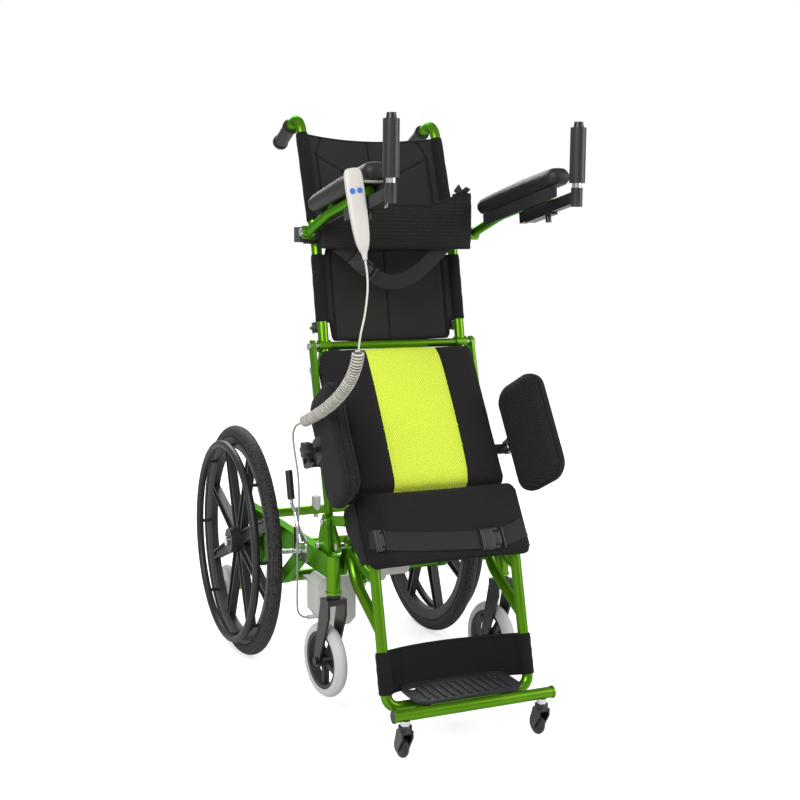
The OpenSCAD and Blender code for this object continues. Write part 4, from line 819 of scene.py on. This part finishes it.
def buckle(centre, x, y, size, thick):
    m = axes(centre, x, y, Vector(x).cross(Vector(y)))
    w, h = size

    def piece(at, wide, tall, deep, up=0.0):
        return moved(block(wide, tall, deep, min(wide, tall) * 0.28, deep * 0.3, step=0.004),
            m @ Matrix.Translation((at * w, 0, up)), 1)

    socket = piece(-0.18, w * 0.50, h, thick)
    tongue = piece(0.20, w * 0.34, h * 0.62, thick * 0.8)
    bars = [piece(at, w * 0.09, h, thick * 0.9) for at in (-0.455, 0.455)]
    rib = piece(-0.18, w * 0.30, h * 0.34, thick * 0.5, thick * 0.36)
    prongs = [moved(block(w * 0.20, h * 0.14, thick * 0.7, 0.002, 0.001, step=0.003),
        m @ Matrix.Translation((0.14 * w, side * h * 0.40, 0)), 1) for side in (-1, 1)]
    return [socket, tongue, rib] + bars + prongs


WIDE_STRAP, STRAP_THICK = 0.044, 0.002
STRAP_N, STRAP_BULGE = 0.0605, 0.006
strap_drop = [(-0.194, 0.022), (-0.1, 0.038), (0, 0.045), (0.1, 0.050), (0.15, 0.042), (0.194, 0.026)]
dip = smooth([Vector((x, KNEE_S + d, 0)) for x, d in strap_drop], 5)


def over_knee(x, s, rise=0.0):
    bulge = STRAP_BULGE * (1 - (x / 0.2) ** 2)
    tuck = STRAP_BULGE * ease((abs(x) - 0.180) / 0.014)
    return at_seat(x, s, STRAP_N + bulge - tuck + rise)


strap_line = [over_knee(p.x, p.y) for p in dip]
knee_strap = build("knee_strap", [ribbon(strap_line, down, WIDE_STRAP, STRAP_THICK)]
    + buckle(over_knee(-0.172, KNEE_S + 0.028, 0.003), (1, 0, 0), down, (0.028, 0.052), 0.007)
    + buckle(over_knee(0.100, KNEE_S + 0.050, 0.004), (1, 0, 0), down, (0.060, 0.052), 0.010),
    [webbing, black_mould])
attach(knee_strap, "seat")
print("strap", len(strap_line), "points")

# %% [markdown]
# A star knob is moulded with six lobes that fingers can turn. It could be cut from a
# disc, but a radius that swells six times on its way round gives it in one ring. The
# seam of a hip pad is a rectangle with round corners.

# %% Knob and seam line
KNOB_LOBES, KNOB_SIDES = 6, 60


def rounded(w, l, r, place, z):
    out = []
    for cx, cy, start in ((1, 1, 0), (-1, 1, 90), (-1, -1, 180), (1, -1, 270)):
        for k in range(9):
            a = math.radians(start + 90 * k / 8)
            x, y = cx * (w / 2 - r) + r * math.cos(a), cy * (l / 2 - r) + r * math.sin(a)
            out.append(place @ Vector((x, y, z)))
    return out


def star_knob(place, radius, depth):
    rings = [(0.0, 0.93), (0.0015, 1.0), (depth - 0.0015, 1.0), (depth, 0.93)]
    verts = []
    for z, grow in rings:
        for j in range(KNOB_SIDES):
            a = 2 * math.pi * j / KNOB_SIDES
            r = radius * (0.86 + 0.14 * math.cos(KNOB_LOBES * a)) * grow
            verts.append(place @ Vector((r * math.cos(a), r * math.sin(a), z)))
    return loft(verts, KNOB_SIDES)


print("knob lobes", KNOB_LOBES)

# %% [markdown]
# Hip pads are thick rounded cushions, hinged at their outer edge and clamped with a
# star knob. The left one stands swung out a little, as in the photograph. Their piping
# could be drawn beside the pad, but each point is laid on the swollen cover, so that no
# gap is left under it.

# %% Hip pads
PIN_X, PIN_S, PIN_N = 0.262, 0.271, -0.022
PAD_AT = (0.237, 0.283, 0.075)
PAD = (0.148, 0.274, 0.034)
PIPE, PIPE_Z = 0.0016, 0.0085
PIPE_W, PIPE_L, PIPE_CORNER = 0.145, 0.271, 0.0435
KNOB_N = 0.024


def hip(side, swing, body):
    sign = SIDES[side]
    pin = at_seat(sign * PIN_X, PIN_S, PIN_N)
    turned = Matrix.Rotation(math.radians(swing), 4, up_seat)
    swung = Matrix.Translation(pin) @ turned @ Matrix.Translation(-pin) @ seat
    place = swung @ Matrix.Translation((sign * PAD_AT[0], *PAD_AT[1:]))
    stand = place @ axes((0, 0, 0), (0, 0, sign), (0, 1, 0), (-sign, 0, 0))
    foam = moved(block(*PAD, plan=0.045, edge=0.013, crown=0.004, under=0.002, step=0.009), stand)
    pad = puff(build(f"hip_cushion_{side}", [foam], [black_net]), stand, voxel=0.005, cap=0.003)
    skin = BVHTree.FromPolygons([v.co for v in pad.data.vertices], [f.vertices[:] for f in pad.data.polygons])
    seams = [[skin.find_nearest(p)[0] for p in rounded(PIPE_W, PIPE_L, PIPE_CORNER, stand, z)]
        for z in (-PIPE_Z, PIPE_Z)]
    piping = build(f"hip_piping_{side}", [tube(seam, PIPE, 8, closed=True) for seam in seams], [black_cloth_and_seam_shade])
    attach(piping, body)
    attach(pad, body)
    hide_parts(f"hip_pad_{side}")
    plate = moved(block(0.007, 0.06, 0.06, 0.003, 0.002, step=0.01),
        swung @ Matrix.Translation((sign * 0.2555, PIN_S, 0.03)))
    arm = moved(block(0.004, 0.014, 0.040, 0.0018, 0.001, step=0.006),
        swung @ Matrix.Translation((sign * 0.257, PIN_S, -0.008)))
    knuckle = tube([swung @ Vector((sign * PIN_X, s, PIN_N)) for s in (0.2645, 0.2655, 0.2765, 0.2775)],
        [0.0068, 0.0074, 0.0074, 0.0068], 24)
    stem = tube([swung @ Vector((sign * x, PIN_S, KNOB_N)) for x in (0.258, 0.274)], 0.007, 20)
    facing = swung @ axes((sign * 0.273, PIN_S, KNOB_N), (0, 1, 0), (0, 0, sign), (sign, 0, 0))
    mount = build(f"hip_mount_{side}", [plate, arm, knuckle, stem, star_knob(facing, 0.020, 0.022)],
        [black_mould])
    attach(mount, body)


hip("left", -joints["hip_pad_left_swing"]["range_deg"][0], "hip_left")
hip("right", 0, "hip_right")
print("hip pads 2")

# %% [markdown]
# The back is two slings of padded cloth. Each has a sleeve on both canes, and its middle
# runs on past the sleeves, so that the two slings meet behind the chest belt. The cloth
# is a grid of points: it sags between the canes, thins at each line of stitches, and
# swells between them. A simulation would lose the stitches, so they are set one by one.

# %% Sling helper
CANE_X = 0.181
SLEEVE = 0.0152
TONGUE = 0.1545
ROWS, COLS = 68, 96
SEAM_SHADE_REACH, PULL, PULL_WIDE = 0.0022, 0.7, 0.0045
HEM, HEM_IN = 0.0042, 0.0022


def off_line(x, z, line):
    best = 1.0
    for (ax, az), (bx, bz) in zip(line, line[1:]):
        dx, dz = bx - ax, bz - az
        t = max(0.0, min(1.0, ((x - ax) * dx + (z - az) * dz) / (dx * dx + dz * dz)))
        best = min(best, math.hypot(x - ax - t * dx, z - az - t * dz))
    return best


def sheet(turn, span, half, sag, thick, stitches):
    front, back, flat = [], [], []
    for j in range(ROWS + 1):
        for i in range(COLS + 1):
            u = -1 + 2 * i / COLS
            x = u * (half - 0.001)
            low, high = span(abs(x))
            z = low + (high - low) * j / ROWS
            rim = min(z - low, high - z)
            soft = thick / 2 * (0.6 + 0.4 * ease(rim / 0.012))
            for line in stitches:
                soft *= 1 - PULL * math.exp(-(off_line(x, z, line) / PULL_WIDE) ** 2)
            ripple = 0.0007 * math.sin(61 * x + 23 * z) * math.sin(37 * z + 2)
            y = sag * (1 - u * u) + ripple * ease((1 - abs(u)) / 0.2)
            front.append(turn @ Vector((x, y - soft, z)))
            back.append(turn @ Vector((x, y + soft, z)))
            flat.append((x, z))
    n, base = COLS + 1, len(front)
    faces, sewn = [], []
    for j in range(ROWS):
        for i in range(COLS):
            a = j * n + i
            x, z = flat[a]
            # painted shade: faces along a stitch line take the darker cloth, as shade in the seam crease
            near = min([off_line(x, z, line) for line in stitches] + [1.0]) < SEAM_SHADE_REACH
            (sewn if near else faces).append((a, a + 1, a + n + 1, a + n))
            faces.append((base + a, base + a + n, base + a + n + 1, base + a + 1))
    for i in range(COLS):
        a = ROWS * n + i
        faces.append((i, base + i, base + i + 1, i + 1))
        faces.append((a, a + 1, base + a + 1, base + a))
    for j in range(ROWS):
        a, b = j * n, j * n + COLS
        faces.append((a, a + n, base + a + n, base + a))
        faces.append((b, base + b, base + b + n, b + n))
    return [(front + back, faces, 0), (front, sewn, 1)]


def sling(name, origin, lean, sleeve_z, middle_z, sag, node, body, cloth, stitches, half=CANE_X,
    sleeve=SLEEVE, thick=0.0094):
    turn = Matrix.Translation(origin) @ Matrix.Rotation(math.radians(-lean), 4, "X")
    low, high = sleeve_z

    def span(x):
        inner = ease((TONGUE + 0.003 - x) / 0.006)
        return low + (middle_z[0] - low) * inner, high + (middle_z[1] - high) * inner

    parts = sheet(turn, span, half, sag, thick, stitches)
    steps = [low, low + 0.003] + [low + (high - low) * k / 10 for k in range(1, 10)] + [high - 0.003, high]
    wide = [sleeve - 0.0012 if k in (0, len(steps) - 1) else sleeve + 0.0004 * math.sin(k * 2.1)
        for k in range(len(steps))]
    for s in (-1, 1):
        parts.append(tube([turn @ Vector((s * half, 0, z)) for z in steps], wide, 28, mark=1))
    for pick, inset in ((0, HEM_IN), (1, -HEM_IN)):
        hem = []
        for i in range(COLS + 1):
            u = -1 + 2 * i / COLS
            x = u * (half - 0.002)
            hem.append(turn @ Vector((x, sag * (1 - u * u), span(abs(x))[pick] + inset)))
        parts.append(tube(hem, HEM, 8, mark=1))
    piece = build(name, parts, [cloth, black_cloth_and_seam_shade])
    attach(piece, body)
    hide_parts(node)
    print(name, len(piece.data.polygons), "faces")


# %% [markdown]
# On the upper sling a seam comes down the middle to a fork, where two slant up to the
# sides and two run to the lower edge. The lower one has a straight middle seam. Both
# have a seam beside each sleeve. Lines in a material could show them, but here they thin
# the padding, so that the light catches them, and the faces along them take a darker
# cloth as painted shade in the seam creases.

# %% Back slings
CANE_LEAN, UPPER_LEAN = 12.3, 20.6
CANE_KNEE = 0.241
tilt = math.radians(CANE_LEAN)
up_cane = Vector((0, math.sin(tilt), math.cos(tilt)))
cane_knee = hinge + CANE_KNEE * up_cane
SIDE_SEAM = 0.148
FORK = (0, 0.165)
upper_seams = [[(0, 0.29), FORK], [FORK, (SIDE_SEAM, 0.235)], [FORK, (-SIDE_SEAM, 0.235)],
    [FORK, (0.05, 0.0)], [FORK, (-0.05, 0.0)]]
upper_seams += [[(x, 0.0), (x, 0.24), (x * 0.86, 0.29)] for x in (-SIDE_SEAM, SIDE_SEAM)]
lower_seams = [[(x, 0.0), (x, 0.24)] for x in (-SIDE_SEAM, 0, SIDE_SEAM)]
sling("back_sling_upper", cane_knee, UPPER_LEAN, (0.062, 0.288), (0.004, 0.288), 0.034, "back_panel_upper",
    "back", back_cloth, upper_seams)
sling("back_sling_lower", hinge, CANE_LEAN, (0.058, 0.219), (0.014, 0.237), 0.0238, "back_panel_lower",
    "back", back_cloth, lower_seams)

# %% [markdown]
# The calf sling is plain woven cloth that hangs slack between the leg tubes. It could
# be one thin sheet, but the helper of the back slings gives it sleeves and hems too.

# %% Calf sling
LEG_LEAN = 14.3
CALF_SPAN = (0.0295, 0.1215)
leg_foot = Vector((0, -0.758641 + LENGTH_SHIFT, 0.089))
calf_seams = [[(x, 0), (x, 0.13)] for x in (-0.12, 0.12)]
sling("calf_sling", leg_foot, LEG_LEAN, CALF_SPAN, CALF_SPAN, 0.078, "calf_strap", "legs", black_cloth_and_seam_shade,
    calf_seams, half=0.177, sleeve=0.0163, thick=0.007)

# %% [markdown]
# The chest belt is a padded band in a U from one arm clamp round to the other. A flat
# band could be bent to the line, but here one section is carried along it, so that the
# taped edges and the flare at its left end are part of the form.

# %% Chest belt
arm_pivot = joint_at("arm_left_flip")
belt_y = arm_pivot.y - 0.052
clamp_front = arm_pivot.y + 0.048 - 0.0195
belt_low = arm_pivot.z - 0.006 - 0.032
half_line = [(0.0, belt_y), (0.05, belt_y), (0.10, belt_y), (0.145, belt_y), (0.168, belt_y + 0.001),
    (0.183, belt_y + 0.007), (0.1875, belt_y + 0.018), (0.184, belt_y + 0.032), (0.1795, belt_y + 0.045),
    (0.179, clamp_front - 0.012), (0.179, clamp_front)]
line = smooth([Vector((-x, y, 0)) for x, y in half_line[:0:-1]]
    + [Vector((x, y, 0)) for x, y in half_line], 3)
TALL, THICK = 0.106, 0.012
FLARE, FLARE_FROM, FLARE_OVER = 0.030, 0.06, 0.12
QUILT_DEEP, QUILT_AT, QUILT_WIDE = 0.2, 0.8, 0.05
TAPE_FROM = 1.7
AROUND = 24
section = []
for k in range(AROUND):
    a = 2 * math.pi * (k + 0.5) / AROUND
    section.append((squarer(math.cos(a), 0.35), squarer(math.sin(a), 0.5)))
verts, quilted, bound = [], [], []
for i, p in enumerate(line):
    along = (line[min(i + 1, len(line) - 1)] - line[max(i - 1, 0)]).normalized()
    side = Vector((along.y, -along.x, 0))
    rise = FLARE * ease((p.x - FLARE_FROM) / FLARE_OVER)
    for t, h in section:
        quilt = 1 - QUILT_DEEP * math.exp(-((abs(h) - QUILT_AT) / QUILT_WIDE) ** 2)
        lift = h * TALL / 2 + rise * max(0.0, h)
        verts.append(p + side * THICK / 2 * t * quilt + Vector((0, 0, belt_low + TALL / 2 + lift)))
_, skin_faces, _ = loft(verts, AROUND)
for face in skin_faces:
    j = face[0] % AROUND
    tape = len(face) == 4 and abs(section[j][1] + section[(j + 1) % AROUND][1]) > TAPE_FROM
    (bound if tape else quilted).append(face)
belt = build("chest_belt_pad", [(verts, quilted + bound, 0)], [black_net, black_cloth_and_seam_shade])
belt.data.polygons.foreach_set("material_index", [0] * len(quilted) + [1] * len(bound))
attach(belt, "back")
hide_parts("chest_belt")
print("belt", len(line), "rings")

# %% [markdown]
# A webbing strap hangs slack behind the belt, with a side release buckle near one end.
# Two loose tabs stand up at the belt's left end, where its closure was left open. A
# simulation could let them fall, but the photograph shows how they lie, so their points
# are listed.

# %% Chest strap
STRAP, TAB = 0.036, 0.022
hang_line = [(-160, 10), (-118, -20), (-80, -52), (-52, -70), (-20, -78), (20, -70), (60, -46), (95, -14),
    (125, 14)]
hang = smooth([Vector((x / 1000, belt_y + 0.0085, belt_low + z / 1000)) for x, z in hang_line], 5)
tabs = []
for x, y, tip in ((0.176, 0.024, (0.186, 0.016)), (0.158, 0.013, (0.149, 0.008))):
    foot = Vector((x, belt_y + y, belt_low + TALL + FLARE * 0.6))
    bend, end = foot + Vector((0.002, 0.0, 0.014)), Vector((tip[0], belt_y + tip[1], foot.z + 0.024))
    tabs.append(ribbon([foot, bend, end], (1, 0.3, 0), TAB, STRAP_THICK))
clasp = buckle((-0.094, belt_y + 0.005, belt_low - 0.040), (0.76, 0, -0.65), (0.65, 0, 0.76), (0.070, 0.042),
    0.008)
strap = build("chest_strap", [ribbon(hang, (0, 0, 1), STRAP, STRAP_THICK)] + tabs + clasp,
    [webbing, black_mould])
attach(strap, "back")
print("strap", len(hang), "points and", len(tabs), "tabs")

# %% [markdown]
# Arm pads are moulded foam with a tough skin, rounded on top and flat below where
# the arm's tabs hold them. A bevelled box could do, but the cloth pass, kept to a small
# move, takes the hard lines out of the block.

# %% Arm pads
ARM_PAD = (0.056, 0.366, 0.033)
PAD_ALONG, PAD_ABOVE = 0.254, 0.0482
arm_axes = {side: axes(joint_at(f"arm_{side}_flip"), (1, 0, 0), forward, above) for side in SIDES}
for side in SIDES:
    place = arm_axes[side] @ Matrix.Translation((0, PAD_ALONG, PAD_ABOVE))
    foam = moved(block(*ARM_PAD, plan=0.023, edge=0.011, crown=0.008, draw=0.01, step=0.008), place)
    pad = build(f"arm_cushion_{side}", [foam], [foam_skin])
    puff(pad, place, voxel=0.004, pressure=2.0, cap=0.0015)
    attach(pad, f"arm_{side}")
    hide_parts(f"arm_pad_{side}")
print("arm pads", len(arm_axes))

# %% [markdown]
# Below each pad a moulded guard covers the inner side of the arm, where the user's
# elbow would meet the steel. It is a flat plate, so its outline is drawn and given
# thickness and soft edges. Behind each cane a star knob locks the back's height.

# %% Arm guards and cane knobs
guard_line = [(0.092, 0.0300), (0.401, 0.0300), (0.401, 0.0262), (0.421, 0.0262), (0.421, 0.0300),
    (0.434, 0.0300), (0.430, 0.002), (0.100, 0.002), (0.092, 0.010)]
GUARD_NEAR, GUARD_FAR = 0.0136, 0.0162
KNOB_UP = 0.050
behind = Vector((0, math.cos(tilt), -math.sin(tilt)))
for side, sign in SIDES.items():
    inner = sorted((-sign * GUARD_NEAR, -sign * GUARD_FAR))
    guard = build(f"arm_guard_{side}", [slab(guard_line, *inner, arm_axes[side])], [black_mould])
    soften(guard, 0.001, 2)
    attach(guard, f"arm_{side}")
    rear = axes(hinge + KNOB_UP * up_cane + Vector((sign * CANE_X, 0, 0)), (-1, 0, 0), up_cane, behind)
    stem = tube([rear @ Vector((0, 0, z)) for z in (0.0118, 0.034)], 0.006, 16)
    collar = tube([rear @ Vector((0, 0, z)) for z in (0.0122, 0.0135, 0.019, 0.020)],
        [0.009, 0.010, 0.010, 0.009], 20)
    star = star_knob(rear @ Matrix.Translation((0, 0, 0.032)), 0.015, 0.018)
    knob = build(f"cane_knob_{side}", [stem, collar, star], [black_mould])
    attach(knob, "back")
print("guards and knobs 2 each")

# %% [markdown]
# The handset is a slim ivory shell, wider at the top, with two sunken blue keys, a
# hanger to the arm pad and a ribbed sleeve where the lead leaves it. Cut blocks could be
# joined for it, but rings of one rounded section give a shell without a seam.

# %% Handset
set_top = Vector((-0.270, arm_pivot.y - 0.404, arm_pivot.z + 0.128))
SET_TURN = (("Z", -14), ("Y", -7.2), ("X", -10.5))
turn_z, turn_y, turn_x = (Matrix.Rotation(math.radians(angle), 4, axis) for axis, angle in SET_TURN)
hold = Matrix.Translation(set_top) @ (turn_z @ turn_y @ turn_x)
HALF_WIDE, HALF_DEEP = 0.019, 0.012
SHELL_RINGS = [(0.0, 0.50, 0.45), (0.0010, 0.66, 0.66), (0.0030, 0.79, 0.82), (0.0065, 0.89, 0.92),
    (0.012, 0.965, 0.98), (0.020, 1, 1), (0.055, 1, 1), (0.090, 0.97, 0.99), (0.120, 0.90, 0.97),
    (0.138, 0.83, 0.94), (0.150, 0.74, 0.90), (0.160, 0.61, 0.84), (0.167, 0.50, 0.74),
    (0.1705, 0.42, 0.62), (0.172, 0.34, 0.48)]


def shell_of(rings, place, n=40):
    verts = []
    for s, wide, deep in rings:
        for j in range(n):
            c, d = math.cos(2 * math.pi * j / n), math.sin(2 * math.pi * j / n)
            x, y = HALF_WIDE * wide * squarer(c, 0.5), HALF_DEEP * deep * squarer(d, 0.5)
            verts.append(place @ Vector((x, y, -s)))
    return loft(verts, n)


sleeve_steps = [0.164, 0.172] + [0.172 + 0.0023 * k for k in range(1, 7)] + [0.188]
ribs = [0.0072, 0.0072] + [0.0066 - 0.0003 * k - (0.0009 if k % 2 else 0) for k in range(6)] + [0.0042]
relief = tube([hold @ Vector((0, 0, -s)) for s in sleeve_steps], ribs, 20)
HANG_AT = 0.4109
on_arm = arm_axes["right"]
hanger = moved(block(0.049, 0.016, 0.004, 0.003, 0.0012, step=0.004),
    on_arm @ Matrix.Translation((-0.0155, HANG_AT, 0.029)))
hook_line = [(0.004, 0.029), (0.014, 0.029), (0.0205, 0.026), (0.0228, 0.018), (0.0232, 0.0),
    (0.0228, -0.014), (0.0205, -0.024)]
hook = ribbon(smooth([on_arm @ Vector((x, HANG_AT, v)) for x, v in hook_line], 4), forward, 0.013, 0.003)
case = build("handset_shell", [shell_of(SHELL_RINGS, hold), relief, hanger, hook], [ivory_shell])
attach(case, "arm_right")
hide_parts("handset_case")
print("handset", [round(c, 3) for c in set_top])

# %% [markdown]
# Rubber sleeves on the brake levers finish the hand controls. Their ribs could be bump
# in a material, but the outline would stay smooth, so each is a short turned profile.

# %% Brake grips
RIBS = 12
LEVER_FOOT, LEVER_TIP = (-0.334, 0.468), (-0.315, 0.541)
marks = [0.009, 0.0095] + [0.012 + 0.0055 * k for k in range(RIBS)] + [0.079, 0.0805]
wide = [0.0085, 0.0091] + [0.0088 + 0.0005 * (k % 2) for k in range(RIBS)] + [0.0088, 0.006]
for side in SIDES:
    x = joint_at(f"brake_lever_{side}_pull").x
    foot, tip = (Vector((x, y + LENGTH_SHIFT, z)) for y, z in (LEVER_FOOT, LEVER_TIP))
    along = (tip - foot).normalized()
    sleeve = build(f"brake_grip_{side}", [tube([foot + along * s for s in marks], wide, 24)], [foam_skin])
    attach(sleeve, f"brake_lever_{side}")
print("brake grips 2")

# %% [markdown]
# The view layer is updated so that every piece stands where it was placed.

# %% Finish
bpy.context.view_layer.update()
